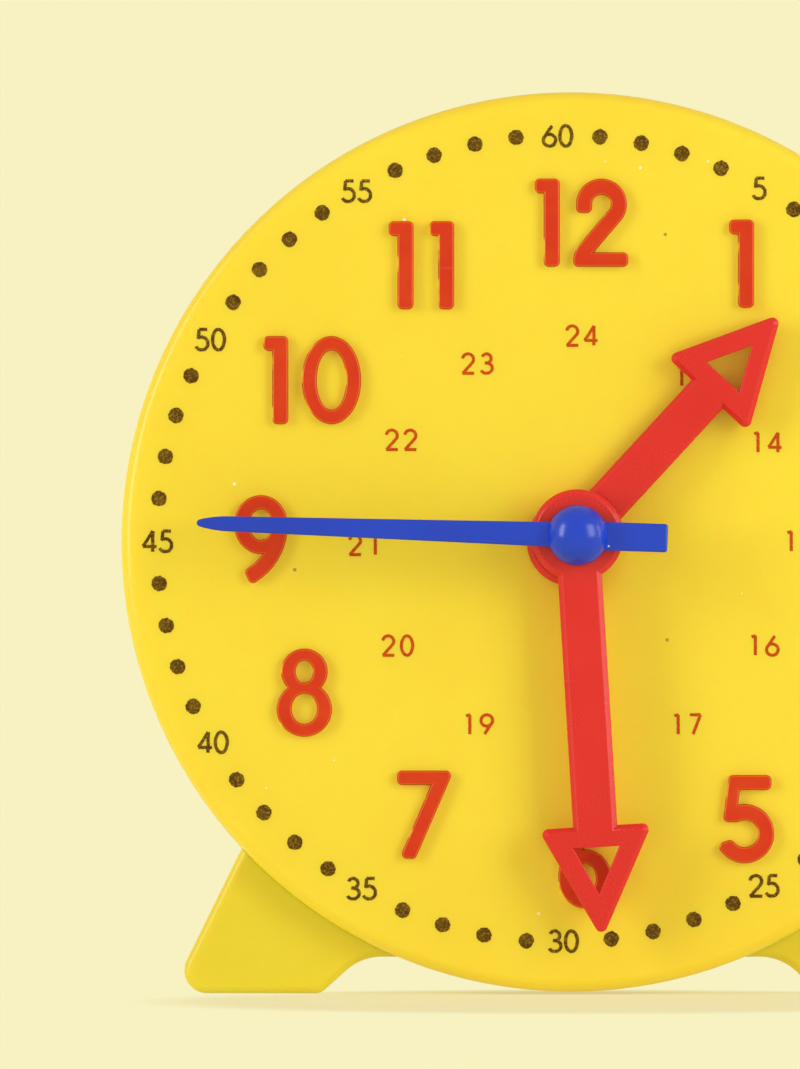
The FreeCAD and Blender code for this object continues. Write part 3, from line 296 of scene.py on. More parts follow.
@dataclass(frozen=True)
class Patches:
    """Soft noise, cut to patches by a step from a low value of it to a high one."""

    scale: float
    detail: float
    low: float
    high: float
    shift: float = 0.0
    stretch: Triple = (1.0, 1.0, 1.0)
    turn: Triple = (0.0, 0.0, 0.0)

    def wire(self, loom: Loom) -> Wire:
        """The patches: 1 inside them and 0 outside."""
        noise = loom.noise(self.scale, self.detail, self.stretch, self.turn, self.shift)
        return noise.step(self.low, self.high)


@dataclass(frozen=True)
class Specks:
    """One sort of speck: its cells to a metre, its size and how strongly it shows."""

    cells: float
    reach: float
    shift: float
    strength: float = 1.0

    def wire(self, loom: Loom, share: float) -> Wire:
        """The specks, in a share of the cells: 1 on a speck and 0 elsewhere."""
        return loom.specks(self.cells, self.reach, share, self.shift)


def about(middle: float, *parts: tuple[Wire, float]) -> Wire:
    """A value that noise moves to both sides of a middle.

    Args:
        middle: the value where the noise is one half.
        parts: each noise, with how far it moves the value from its 0 to its 1.

    Returns:
        The value.
    """
    noise, reach = parts[0]
    moved = noise * reach
    for noise, reach in parts[1:]:
        moved = moved + noise * reach
    return moved + (middle - sum(reach for _, reach in parts) / 2)


CLOUDS = Patches(48.0, 3.0, 0.34, 0.7)
SCRATCHES = (
    Patches(260.0, 1.0, 0.765, 0.8, stretch=(0.3, 1.0, 9.0), turn=(0.0, 0.7, 0.0)),
    Patches(240.0, 1.0, 0.77, 0.805, shift=3.1, stretch=(0.28, 1.0, 9.0),
            turn=(0.0, -0.95, 0.0)))
FLECKS = Specks(260.0, 0.075, shift=1.7, strength=0.75)
GRIT = Specks(190.0, 0.05, shift=7.3, strength=0.7)
MOTES = Specks(520.0, 0.075, shift=3.9, strength=0.85)

COAT_SLIPS = Patches(420.0, 2.0, 0.5, 0.66, shift=5.0)
COAT_WEAR = Patches(2600.0, 3.0, 0.66, 0.8)
COAT_THIN = Patches(210.0, 4.0, 0.3, 0.8, shift=9.0)
PINHOLES = Specks(1100.0, 0.16, shift=4.2)
PINHOLE_FIELDS = Patches(70.0, 2.0, 0.5, 0.68, shift=2.0)

INK_GRAINS = Patches(3800.0, 4.0, 0.47, 0.66)
INK_PATCHES = Patches(900.0, 2.0, 0.35, 0.75, shift=4.0)


# ------------------------------ finishes

@dataclass(frozen=True)
class Finish:
    """A finish that dresses a piece."""

    name: str

    def wire(self, loom: Loom) -> Wire:
        """Wire the finish, which each kind of finish does in its own way.

        Args:
            loom: the tree to wire.

        Returns:
            The shader.
        """
        raise NotImplementedError

    def material(self) -> bpy.types.Material:
        """Make the finish's material, once.

        Returns:
            The material.
        """
        found = bpy.data.materials.get(self.name)
        if found:
            return found
        made = bpy.data.materials.new(self.name)
        made.use_nodes = True
        loom = Loom(made.node_tree)
        loom.output(self.wire(loom))
        return made


@dataclass(frozen=True)
class MouldedPlastic(Finish):
    """Injection-moulded plastic: slight flow clouds, a fine grain, scratches and dust."""

    colour: Colour
    deep: Colour
    roughness: float = 0.34
    gloss_index: float = 1.45
    glow: float = 0.0
    glow_reach: Triple = (1.0, 0.4, 0.1)
    glow_depth: float = 3.0 * MM
    dust: Colour = (1.0, 0.98, 0.9)
    dust_share: float = 0.16
    mote_share: float = 0.04
    grit: Colour = (0.16, 0.11, 0.03)
    grit_to_dust: float = 0.45
    cloudiness: float = 0.7
    scratch: float = 0.35
    grain: float = 0.012 * MM

    GRAIN_SCALE = 3600.0
    WAVE_SCALE = 150.0
    WAVE_ROUGHNESS = 0.12
    GRAIN_ROUGHNESS = 0.05
    SCRATCH_ROUGHNESS = 0.16
    WAVE_HEIGHT = 1.1
    GRAIN_HEIGHT = 0.35
    SCRATCH_DEPTH = 0.5
    FLECK_HEIGHT = 1.6
    PALE_GAIN = 1.15
    PALE_LIFT = 0.05

    def scratches(self, loom: Loom) -> Wire:
        """Two sets of fine handling scratches: 1 in a scratch and 0 beside it."""
        first, second = (patches.wire(loom) for patches in SCRATCHES)
        return first.larger(second)

    def pale(self) -> Colour:
        """The colour that a scratch has whitened."""
        return tuple(min(1.0, part * self.PALE_GAIN + self.PALE_LIFT) for part in self.colour)

    def body(self, loom: Loom, base: "Wire | Colour", scratch: Wire) -> Wire:
        """The plastic's shader for a base colour.

        Args:
            loom: the tree to wire.
            base: the plastic's colour.
            scratch: the scratches.

        Returns:
            The shader.
        """
        flecks = FLECKS.wire(loom, self.dust_share)
        grit = GRIT.wire(loom, self.dust_share * self.grit_to_dust)
        motes = MOTES.wire(loom, self.mote_share)
        colour = loom.blend(CLOUDS.wire(loom) * self.cloudiness, base, self.deep)
        colour = loom.blend(flecks * FLECKS.strength, colour, self.dust)
        colour = loom.blend(grit * GRIT.strength, colour, self.grit)
        colour = loom.blend(motes * MOTES.strength, colour, self.dust)
        grain = loom.noise(self.GRAIN_SCALE)
        waves = loom.noise(self.WAVE_SCALE, detail=1.0)
        rough = about(self.roughness, (waves, self.WAVE_ROUGHNESS), (grain, self.GRAIN_ROUGHNESS))
        rise = grain * self.GRAIN_HEIGHT + waves * self.WAVE_HEIGHT
        height = rise - scratch * self.SCRATCH_DEPTH + flecks * self.FLECK_HEIGHT
        return loom.principled({
            "Base Color": colour, "Roughness": rough + scratch * self.SCRATCH_ROUGHNESS,
            "IOR": self.gloss_index, "Normal": loom.bump(height, self.grain),
            "Subsurface Weight": self.glow, "Subsurface Radius": self.glow_reach,
            "Subsurface Scale": self.glow_depth})

    def wire(self, loom: Loom) -> Wire:
        """Plain moulded plastic all over."""
        scratch = self.scratches(loom)
        base = loom.blend(scratch * self.scratch, self.colour, self.pale())
        return self.body(loom, base, scratch)


@dataclass(frozen=True)
class FigureCoat(MouldedPlastic):
    """Moulded plastic whose raised figures carry a coat of colour on their tops and sides, with
    painted shade on their steepest sides.
    """

    coat: Colour = (0.59, 0.027, 0.004)
    coat_thin: Colour = (0.8, 0.13, 0.008)
    # A darker coat colour, painted on the figures' steepest sides as shade.
    coat_brim: Colour = (0.38, 0.055, 0.004)
    coat_scuff: Colour = (0.95, 0.35, 0.22)
    coat_from: float = FACE - 0.1 * MM
    coat_full: float = FACE - 0.2 * MM
    coat_wander: float = 0.12 * MM
    coat_roughness: float = 0.4
    coat_index: float = 1.34
    coat_bump: float = 0.014 * MM

    # How squarely a surface faces the reader, or the left, where a zone begins and is full.
    SLOPE = (0.995, 0.9)
    # The steepest sides, which get the painted shade, are picked by how squarely they face the
    # reader.
    BRIM = (0.88, 0.62)
    LEFTWARD = (-0.35, -0.9)
    WANDER_SCALE = 900.0
    GLOSS_SCALE = 500.0
    GLOSS_CHANGE = 0.2
    FINE_BUMPS = 1500.0
    BROAD_BUMPS = 330.0
    BROAD_HEIGHT = 1.2
    SLIPPED_OFF = 0.75
    WORN_OFF = 0.5
    PINHOLE_SHARE = 0.05
    THIN_IN_PATCHES = 0.2
    THIN_ON_SLOPES = 0.7
    # How strongly the painted shade on the steepest sides shows.
    BRIM_SHOWS = 0.9
    SCUFF_SHOWS = 0.12

    def covered(self, loom: Loom) -> Wire:
        """Where the coat reaches: 1 on a figure and 0 on the dial's face."""
        wander = (loom.noise(self.WANDER_SCALE) - 0.5) * self.coat_wander
        return (loom.axis(loom.spot(), "Y") + wander).step(self.coat_from, self.coat_full)

    def bare(self, loom: Loom, facing: Wire, slope: Wire) -> Wire:
        """Where the coat slipped to the left, wore off an edge or left a pinhole.

        Args:
            loom: the tree to wire.
            facing: which way the surface faces.
            slope: the figures' sloping edges.

        Returns:
            How much of the coat is missing.
        """
        leftward = loom.axis(facing, "X").step(*self.LEFTWARD)
        slipped = leftward * slope * COAT_SLIPS.wire(loom)
        pinholes = PINHOLES.wire(loom, self.PINHOLE_SHARE) * PINHOLE_FIELDS.wire(loom)
        worn = (COAT_WEAR.wire(loom) * slope).larger(pinholes)
        return (slipped * self.SLIPPED_OFF).larger(worn * self.WORN_OFF)

    def paint(self, loom: Loom, slope: Wire, brim: Wire, scratch: Wire) -> Wire:
        """The coat's own shader.

        Args:
            loom: the tree to wire.
            slope: the figures' sloping edges, where the coat is thin.
            brim: the steepest part of them, where the coat is painted darker as shade.
            scratch: the scratches.

        Returns:
            The shader.
        """
        thin = COAT_THIN.wire(loom) * self.THIN_IN_PATCHES + slope * self.THIN_ON_SLOPES
        tint = loom.blend(thin, self.coat, self.coat_thin)
        # Painted shade: the coat turns darker on the figures' steepest sides.
        tint = loom.blend(brim * self.BRIM_SHOWS, tint, self.coat_brim)
        tint = loom.blend(scratch * self.SCUFF_SHOWS, tint, self.coat_scuff)
        gloss = loom.noise(self.GLOSS_SCALE)
        fine = loom.noise(self.FINE_BUMPS, detail=3.0)
        bumps = fine + loom.noise(self.BROAD_BUMPS) * self.BROAD_HEIGHT
        return loom.principled({
            "Base Color": tint, "Roughness": about(self.coat_roughness, (gloss, self.GLOSS_CHANGE)),
            "IOR": self.coat_index, "Normal": loom.bump(bumps, self.coat_bump)})

    def wire(self, loom: Loom) -> Wire:
        """The plastic with the coat laid over it."""
        scratch = self.scratches(loom)
        facing = loom.add("ShaderNodeTexCoord", {}, {}, "Normal")
        level = loom.axis(facing, "Y").size()
        slope = level.step(*self.SLOPE)
        cover = self.covered(loom)
        share = cover - self.bare(loom, facing, slope) * cover
        # The coat goes on with painted shade on the figures' steepest sides.
        return loom.mix(share, self.body(loom, self.colour, scratch),
                        self.paint(loom, slope, level.step(*self.BRIM), scratch))


@dataclass(frozen=True)
class PrintInk(Finish):
    """Pad-printed ink: a granular film that lets some of its ground through."""

    colour: Colour
    thin: Colour
    gloss_index: float = 1.22
    smoothest: float = 0.5
    grain: float = 0.008 * MM

    THIN_IN_GRAINS = 0.7
    THIN_IN_PATCHES = 0.25
    GRAIN_ROUGHNESS = 0.25

    def wire(self, loom: Loom) -> Wire:
        """The ink's shader."""
        grains = INK_GRAINS.wire(loom)
        thin = grains * self.THIN_IN_GRAINS + INK_PATCHES.wire(loom) * self.THIN_IN_PATCHES
        return loom.principled({
            "Base Color": loom.blend(thin, self.colour, self.thin),
            "Roughness": grains * self.GRAIN_ROUGHNESS + self.smoothest,
            "IOR": self.gloss_index, "Normal": loom.bump(grains, self.grain)})


@dataclass(frozen=True)
class DrawnSteel(Finish):
    """Bright steel with fine marks that run round or along the piece."""

    colour: Colour
    roughness: float
    marks: Triple
    grain: float = 0.006 * MM

    LINE_SCALE = 1600.0
    HAZE_SCALE = 300.0
    DULL_SHARE = 0.72
    HAZE = (0.4, 0.75)
    HAZE_SHOWS = 0.6
    LINE_ROUGHNESS = 0.16
    HAZE_ROUGHNESS = 0.1

    def wire(self, loom: Loom) -> Wire:
        """The steel's shader."""
        lines = loom.noise(self.LINE_SCALE, detail=3.0, stretch=self.marks)
        haze = loom.noise(self.HAZE_SCALE, detail=3.0, shift=2.0)
        dull = tuple(part * self.DULL_SHARE for part in self.colour)
        return loom.principled({
            "Base Color": loom.blend(haze.step(*self.HAZE) * self.HAZE_SHOWS, self.colour, dull),
            "Metallic": 1.0,
            "Roughness": about(self.roughness, (lines, self.LINE_ROUGHNESS),
                               (haze, self.HAZE_ROUGHNESS)),
            "Normal": loom.bump(lines, self.grain)})


@dataclass(frozen=True)
class StudioCloth(Finish):
    """The pale surface under the clock, which takes a faint shadow in an oval about the feet."""

    colour: Colour
    shown: Colour
    middle: Spot
    across: float
    along: float
    faint: float
    weave: Colour = (0.8, 0.78, 0.6)
    weave_bump: float = 0.02 * MM

    OVAL_EDGE = (0.5, 1.0)
    WEAVE_SCALE = 700.0
    WEAVE_SHOWS = 0.06
    ROUGHNESS = 0.8

    def wire(self, loom: Loom) -> Wire:
        """The surface's shader."""
        spot = loom.spot()
        across = (loom.axis(spot, "X") - self.middle[0]) * (1.0 / self.across)
        along = (loom.axis(spot, "Y") - self.middle[1]) * (1.0 / self.along)
        away = (across * across + along * along).step(*self.OVAL_EDGE)
        weave = loom.noise(self.WEAVE_SCALE, detail=3.0)
        paper = loom.principled({
            "Base Color": loom.blend(weave * self.WEAVE_SHOWS, self.colour, self.weave),
            "Roughness": self.ROUGHNESS, "Specular IOR Level": 0.0,
            "Normal": loom.bump(weave, self.weave_bump)})
        glow = loom.add("ShaderNodeEmission", {}, {"Color": (*self.shown, 1.0), "Strength": 1.0})
        return loom.mix(away * (1.0 - self.faint) + self.faint, paper, glow)


YELLOW = (0.885, 0.7, 0.042)
YELLOW_DEEP = (0.865, 0.655, 0.034)
RED = (0.69, 0.02, 0.02)
RED_DEEP = (0.64, 0.015, 0.014)
BLUE = (0.007, 0.05, 0.64)
BLUE_DEEP = (0.008, 0.039, 0.5)
CREAM = (0.939, 0.887, 0.539)

DIAL_PLASTIC = FigureCoat("dial_plastic_coat", YELLOW, YELLOW_DEEP, glow=0.45)
CASING_PLASTIC = MouldedPlastic("casing_yellow", YELLOW, YELLOW_DEEP, roughness=0.36, glow=0.45)
STAND_PLASTIC = MouldedPlastic("stand_yellow", (0.77, 0.65, 0.03), (0.73, 0.61, 0.025),
                               roughness=0.38, glow=0.45)
HAND_PLASTIC = MouldedPlastic("hand_red", RED, RED_DEEP, roughness=0.26, gloss_index=1.42,
                              dust=(1.0, 0.78, 0.74), dust_share=0.2, mote_share=0.13,
                              scratch=0.2, glow=0.15, glow_reach=(1.0, 0.1, 0.08),
                              glow_depth=0.8 * MM)
KNOB_PLASTIC = MouldedPlastic("knob_red", RED, RED_DEEP, dust=(1.0, 0.72, 0.66))
SECOND_PLASTIC = MouldedPlastic("pointer_blue", BLUE, BLUE_DEEP, roughness=0.22,
                                gloss_index=1.42, dust=(0.75, 0.85, 1.0), dust_share=0.1,
                                mote_share=0.16, scratch=0.2)
WHEEL_PLASTIC = MouldedPlastic("wheel_natural", (0.8, 0.78, 0.7), (0.74, 0.71, 0.61),
                               roughness=0.45, glow=0.3)
PINION_PLASTIC = MouldedPlastic("pinion_natural", (0.78, 0.75, 0.66), (0.72, 0.68, 0.57),
                                roughness=0.42)
ARBOR_PLASTIC = MouldedPlastic("arbor_natural", (0.77, 0.75, 0.68), (0.7, 0.67, 0.58),
                               roughness=0.4)
WASHER_PLASTIC = MouldedPlastic("washer_white", (0.82, 0.82, 0.79), (0.76, 0.76, 0.71),
                                roughness=0.36)
PIN_STEEL = DrawnSteel("pin_steel", (0.66, 0.66, 0.68), roughness=0.3, marks=(1.0, 9.0, 1.0))
SPRING_STEEL = DrawnSteel("spring_steel", (0.6, 0.61, 0.64), roughness=0.34, marks=(3.0, 3.0, 3.0))
SCREW_STEEL = DrawnSteel("screw_zinc", (0.62, 0.63, 0.66), roughness=0.38, marks=(2.0, 2.0, 2.0))
BROWN_INK = PrintInk("ink_brown", (0.075, 0.034, 0.002), (0.33, 0.19, 0.01))
ORANGE_INK = PrintInk("ink_orange_red", (0.5, 0.05, 0.004), (0.6, 0.12, 0.006))
CLOTH = StudioCloth("studio_cloth", (0.9, 0.87, 0.56), CREAM, middle=(0.0, -0.033), across=0.052,
                    along=0.034, faint=0.45)


# ------------------------------ the bench

class Bench:
    """Modelling steps by operators, as they are done by hand."""

    @staticmethod
    def take(piece: bpy.types.Object) -> None:
        """Select one piece alone and make it the active one."""
        for other in bpy.context.view_layer.objects:
            other.select_set(False)
        piece.select_set(True)
        bpy.context.view_layer.objects.active = piece

    @staticmethod
    def start(name: str, add: Callable[..., set], **settings: object) -> bpy.types.Object:
        """Add a primitive on its own.

        Args:
            name: the new piece's name.
            add: the operator that adds it.
            settings: the operator's settings.

        Returns:
            The new piece.
        """
        for other in bpy.context.view_layer.objects:
            other.select_set(False)
        add(**settings)
        piece = bpy.context.view_layer.objects.active
        piece.name = name
        piece.data.name = name
        return piece

    @staticmethod
    @contextmanager
    def editing(piece: bpy.types.Object) -> Iterator[None]:
        """Take one piece into edit mode with all of it selected, and out again.

        Args:
            piece: the piece.

        Yields:
            Nothing, while the piece is in edit mode.
        """
        Bench.take(piece)
        bpy.ops.object.mode_set(mode="EDIT")
        bpy.ops.mesh.select_all(action="SELECT")
        yield
        bpy.ops.object.mode_set(mode="OBJECT")

    @staticmethod
    def settle(piece: bpy.types.Object) -> None:
        """Put a piece's place, turn and scale into its mesh."""
        Bench.take(piece)
        bpy.ops.object.transform_apply(location=True, rotation=True, scale=True)

    @staticmethod
    def pick_edges(piece: bpy.types.Object, test: Callable[[bmesh.types.BMEdge], bool]) -> int:
        """Select the edges of a piece in edit mode that pass a test.

        Args:
            piece: the piece, in edit mode.
            test: what the chosen edges pass.

        Returns:
            How many were chosen.
        """
        bpy.ops.mesh.select_mode(type="EDGE")
        bpy.ops.mesh.select_all(action="DESELECT")
        chosen = [edge for edge in bmesh.from_edit_mesh(piece.data).edges if test(edge)]
        for edge in chosen:
            edge.select_set(True)
        bmesh.update_edit_mesh(piece.data)
        return len(chosen)

    @staticmethod
    def finish_with(piece: bpy.types.Object, kind: str, **settings: object) -> None:
        """Add a modifier and apply it.

        Args:
            piece: the piece.
            kind: the modifier's type.
            settings: its properties.
        """
        Bench.take(piece)
        bpy.ops.object.modifier_add(type=kind)
        modifier = piece.modifiers[-1]
        for name, setting in settings.items():
            setattr(modifier, name, setting)
        bpy.ops.object.modifier_apply(modifier=modifier.name)

    @staticmethod
    def rounded(name: str, node: str, width: float, rows: int,
                wanted: Callable[[bmesh.types.BMEdge], bool]) -> bpy.types.Object:
        """Copy a node as one clean shell and round its sharp edges.

        Args:
            name: the new piece's name.
            node: the node that it is a copy of.
            width: the rounding's width in metres; at 0 the edges stay sharp.
            rows: how many faces the rounding has.
            wanted: which of the sharp edges are rounded.

        Returns:
            The new piece.
        """
        mesh = frame["nodes"][node].data.copy()
        mesh.name = name
        mesh.materials.clear()
        piece = bpy.data.objects.new(name, mesh)
        bpy.context.scene.collection.objects.link(piece)
        Bench.take(piece)
        bpy.ops.mesh.customdata_custom_splitnormals_clear()
        with Bench.editing(piece):
            bpy.ops.mesh.remove_doubles(threshold=WELD)
            bpy.ops.mesh.dissolve_limited(angle_limit=FLAT_ANGLE)
            count = Bench.pick_edges(piece, lambda edge: is_sharp(edge) and wanted(edge))
            if count and width:
                bpy.ops.mesh.bevel(offset=width, segments=rows, profile=ROUND_PROFILE,
                                   affect="EDGES", clamp_overlap=False, miter_outer="ARC",
                                   loop_slide=False)
            bpy.ops.mesh.select_all(action="SELECT")
            bpy.ops.mesh.remove_doubles(threshold=FINE_WELD)
        LOG.info("%s: %d edges rounded by %.3f mm", name, count, width / MM)
        return piece

    @staticmethod
    def soften(name: str, node: str, width: float, rows: int,
               wanted: Callable[[bmesh.types.BMEdge], bool]) -> bpy.types.Object:
        """Round a copy of a node as widely as leaves its faces unfolded, and smooth it.

        Args:
            name: the new piece's name.
            node: the node that it is a copy of.
            width: the widest rounding in metres.
            rows: how many faces the rounding has.
            wanted: which of the sharp edges are rounded.

        Returns:
            The new piece.
        """
        for share in WIDTH_SHARES:
            piece = Bench.rounded(name, node, width * share, rows, wanted)
            if not share or is_unfolded(piece.data):
                break
            LOG.warning("%s: a face folded, so the rounding gets narrower", name)
            bpy.data.meshes.remove(piece.data)
        Bench.take(piece)
        bpy.ops.object.shade_smooth_by_angle(angle=SMOOTH_ANGLE)
        Bench.finish_with(piece, "WEIGHTED_NORMAL", keep_sharp=True, weight=NORMAL_WEIGHT)
        return piece


def is_unfolded(mesh: bpy.types.Mesh) -> bool:
    """Whether no face of a mesh lies over itself.

    Args:
        mesh: the mesh.

    Returns:
        True if each face's triangles together cover no more than the face.
    """
    mesh.calc_loop_triangles()
    covered = [0.0] * len(mesh.polygons)
    for triangle in mesh.loop_triangles:
        covered[triangle.polygon_index] += triangle.area
    return all(covered[face.index] - face.area < FOLD_SLACK + FOLD_SHARE * face.area
               for face in mesh.polygons)


def is_sharp(edge: bmesh.types.BMEdge) -> bool:
    """Whether two faces meet at an edge by more than the sharp angle."""
    return len(edge.link_faces) == 2 and edge.calc_face_angle(0.0) > SHARP_ANGLE


def is_ridge(edge: bmesh.types.BMEdge) -> bool:
    """Whether an edge is a sharp one that stands out."""
    return is_sharp(edge) and edge.is_convex


def lies_at(edge: bmesh.types.BMEdge, depth: float) -> bool:
    """Whether an edge lies in the plane at a depth along Y."""
    return all(abs(vert.co.y - depth) < PLANE_SLACK for vert in edge.verts)


def register(piece: bpy.types.Object, body: str, finish: Finish,
             node: str | None = None) -> None:
    """Dress a new piece and tie it to its body.

    Args:
        piece: the piece.
        body: the body that carries it.
        finish: its finish.
        node: the node that it stands for, if any.
    """
    piece.data.materials.clear()
    piece.data.materials.append(finish.material())
    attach(piece, body)
    if node:
        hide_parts(node)
    LOG.info("%s: %d faces, on %s", piece.name, len(piece.data.polygons), body)


def dress(node: str, finish: Finish) -> None:
    """Give a node a finish.

    Args:
        node: the node.
        finish: its finish.
    """
    for slot in frame["nodes"][node].material_slots:
        slot.material = finish.material()
    LOG.info("%s: dressed in %s", node, finish.name)


# ------------------------------ casing and stand

@dataclass
class Casing:
    """The dial pan with its raised figures, the back cover and its screws."""

    figure_front: float = FACE - FIGURE_RISE
    figure_round: float = 0.3 * MM
    figure_rows: int = 4
    cover_round: float = 0.12 * MM
    cover_rows: int = 2

    def build(self) -> None:
        """Round the edges of the figures and of the cover, and dress the casing."""
        dial = Bench.soften("dial_face", "dial", self.figure_round, self.figure_rows,
                            lambda edge: lies_at(edge, self.figure_front))
        register(dial, "root", DIAL_PLASTIC, "dial")
        cover = Bench.soften("cover_disc", "back_cover", self.cover_round, self.cover_rows,
                             lambda edge: edge.is_convex and lies_at(edge, COVER_BACK))
        register(cover, "root", CASING_PLASTIC, "back_cover")
        dress("cover_screws", SCREW_STEEL)


@dataclass
class Stand:
    """The hollow stand and the screws that hold the casing to it."""

    edge_round: float = 0.22 * MM
    edge_rows: int = 2

    def build(self) -> None:
        """Round the stand's edges and dress it."""
        stand = Bench.soften("stand_shell", "stand", self.edge_round, self.edge_rows, is_ridge)
        register(stand, "root", STAND_PLASTIC, "stand")
        dress("stand_screws", SCREW_STEEL)


# ------------------------------ printed figures

@dataclass(frozen=True)
class Bow:
    """A bent stroke: part of an oval, from one angle to another."""

    middle: Spot
    across: float
    up: float
    first: float = 0.0
    last: float = 360.0

    def spot(self, share: float) -> Spot:
        """The point a share of the way along."""
        turn = math.radians(self.first + (self.last - self.first) * share)
        return (self.middle[0] + self.across * math.cos(turn),
                self.middle[1] + self.up * math.sin(turn))


@dataclass(frozen=True)
class Bar:
    """A straight stroke from one point to another."""

    start: Spot
    end: Spot

    def spot(self, share: float) -> Spot:
        """The point a share of the way along."""
        return (self.start[0] + (self.end[0] - self.start[0]) * share,
                self.start[1] + (self.end[1] - self.start[1]) * share)


Stroke = Bow | Bar

# Pen paths of the printed figures, one unit from foot to head, with each figure's width.
PEN_PATHS: dict[str, tuple[float, tuple[Stroke, ...]]] = {
    "0": (0.58, (Bow((0.29, 0.5), 0.29, 0.5),)),
    "1": (0.24, (Bar((0.2, 0.0), (0.2, 1.0)), Bar((0.0, 0.95), (0.22, 1.0)))),
    "2": (0.6, (Bow((0.29, 0.72), 0.28, 0.28, 172.0, -38.0), Bar((0.52, 0.56), (0.02, 0.0)),
                Bar((0.0, 0.0), (0.6, 0.0)))),
    "3": (0.56, (Bow((0.27, 0.765), 0.235, 0.235, 158.0, -92.0),
                 Bow((0.26, 0.265), 0.3, 0.265, 92.0, -155.0),
                 Bar((0.17, 0.53), (0.3, 0.53)))),
    "4": (0.66, (Bar((0.48, 0.0), (0.48, 1.0)), Bar((0.49, 1.0), (0.0, 0.25)),
                 Bar((0.0, 0.25), (0.66, 0.25)))),
    "5": (0.56, (Bar((0.52, 1.0), (0.14, 1.0)), Bar((0.14, 1.0), (0.08, 0.54)),
                 Bow((0.25, 0.315), 0.31, 0.315, 130.0, -152.0))),
    "6": (0.6, (Bow((0.3, 0.29), 0.3, 0.29), Bar((0.42, 1.0), (0.05, 0.43)))),
    "7": (0.56, (Bar((0.0, 1.0), (0.56, 1.0)), Bar((0.55, 1.0), (0.17, 0.0)))),
    "8": (0.58, (Bow((0.29, 0.765), 0.23, 0.235), Bow((0.29, 0.265), 0.29, 0.265))),
    "9": (0.6, (Bow((0.3, 0.71), 0.3, 0.29), Bar((0.18, 0.0), (0.55, 0.57)))),
}


@dataclass(kw_only=True)
class Run:
    """One run of print: thin films of one ink, laid on a ring on the dial.

    The films lie at angles counted from the pole, or from the ring's middle without one.
    """

    name: str
    ink: Finish
    middle: Spot
    ring: float
    face: float = FACE
    turn: float = 0.0
    pole: Spot | None = None
    slab: float = 1.0 * MM
    film: float = 0.02 * MM
    sunk: float = 0.006 * MM
    rough_edge: float = 0.03 * MM

    MINUTE_TURN = 6.0

    def thicken(self, flat: bpy.types.Object) -> None:
        """Give a flat pattern the thickness of a slab.

        Args:
            flat: the pattern, standing in the plane of X and Z.
        """
        rise = (0.0, self.slab, 0.0)
        with Bench.editing(flat):
            bpy.ops.mesh.extrude_region_move(TRANSFORM_OT_translate={"value": rise})
            bpy.ops.mesh.select_all(action="SELECT")
            bpy.ops.mesh.normals_make_consistent(inside=False)

    def roughen(self, slab: bpy.types.Object, seed: int) -> None:
        """Make a slab's edges ragged.

        Args:
            slab: the slab.
            seed: the order in which its points stray.
        """
        with Bench.editing(slab):
            bpy.ops.transform.vertex_random(offset=self.rough_edge, uniform=1.0, normal=0.0,
                                            seed=seed)

    def lay(self, slab: bpy.types.Object, across: float, up: float) -> bpy.types.Object:
        """Lay a copy of a slab on the dial, thinned to a film.

        Args:
            slab: the slab to copy.
            across: where its own origin goes, across.
            up: where it goes, up.

        Returns:
            The film.
        """
        mesh = slab.data.copy()
        thin = Matrix.Diagonal((1.0, self.film / self.slab, 1.0, 1.0))
        mesh.transform(Matrix.Translation((across, self.face - self.film + self.sunk, up)) @ thin)
        piece = bpy.data.objects.new(self.name, mesh)
        bpy.context.scene.collection.objects.link(piece)
        return piece

    def close(self, films: list[bpy.types.Object], slabs: list[bpy.types.Object]) -> None:
        """Join the films into one piece and clear the slabs away.

        Args:
            films: the films on the dial.
            slabs: the slabs that they were copied from.
        """
        whole = films[0]
        Bench.take(whole)
        for film in films[1:]:
            film.select_set(True)
        bpy.ops.object.join()
        whole.name = self.name
        for slab in slabs:
            bpy.data.meshes.remove(slab.data)
        register(whole, "root", self.ink)

    def place(self, minutes: float) -> Spot:
        """Where the ring lies in the direction of a minute.

        Args:
            minutes: the direction, counted clockwise from the top.

        Returns:
            The point of the ring that lies that way from the pole.
        """
        turn = math.radians(self.MINUTE_TURN * minutes + self.turn)
        way = Vector((math.sin(turn), math.cos(turn)))
        pole = Vector(self.pole or self.middle)
        off = pole - Vector(self.middle)
        along = off.dot(way)
        reach = math.sqrt(along ** 2 - off.length_squared + self.ring ** 2) - along
        return tuple(pole + way * reach)


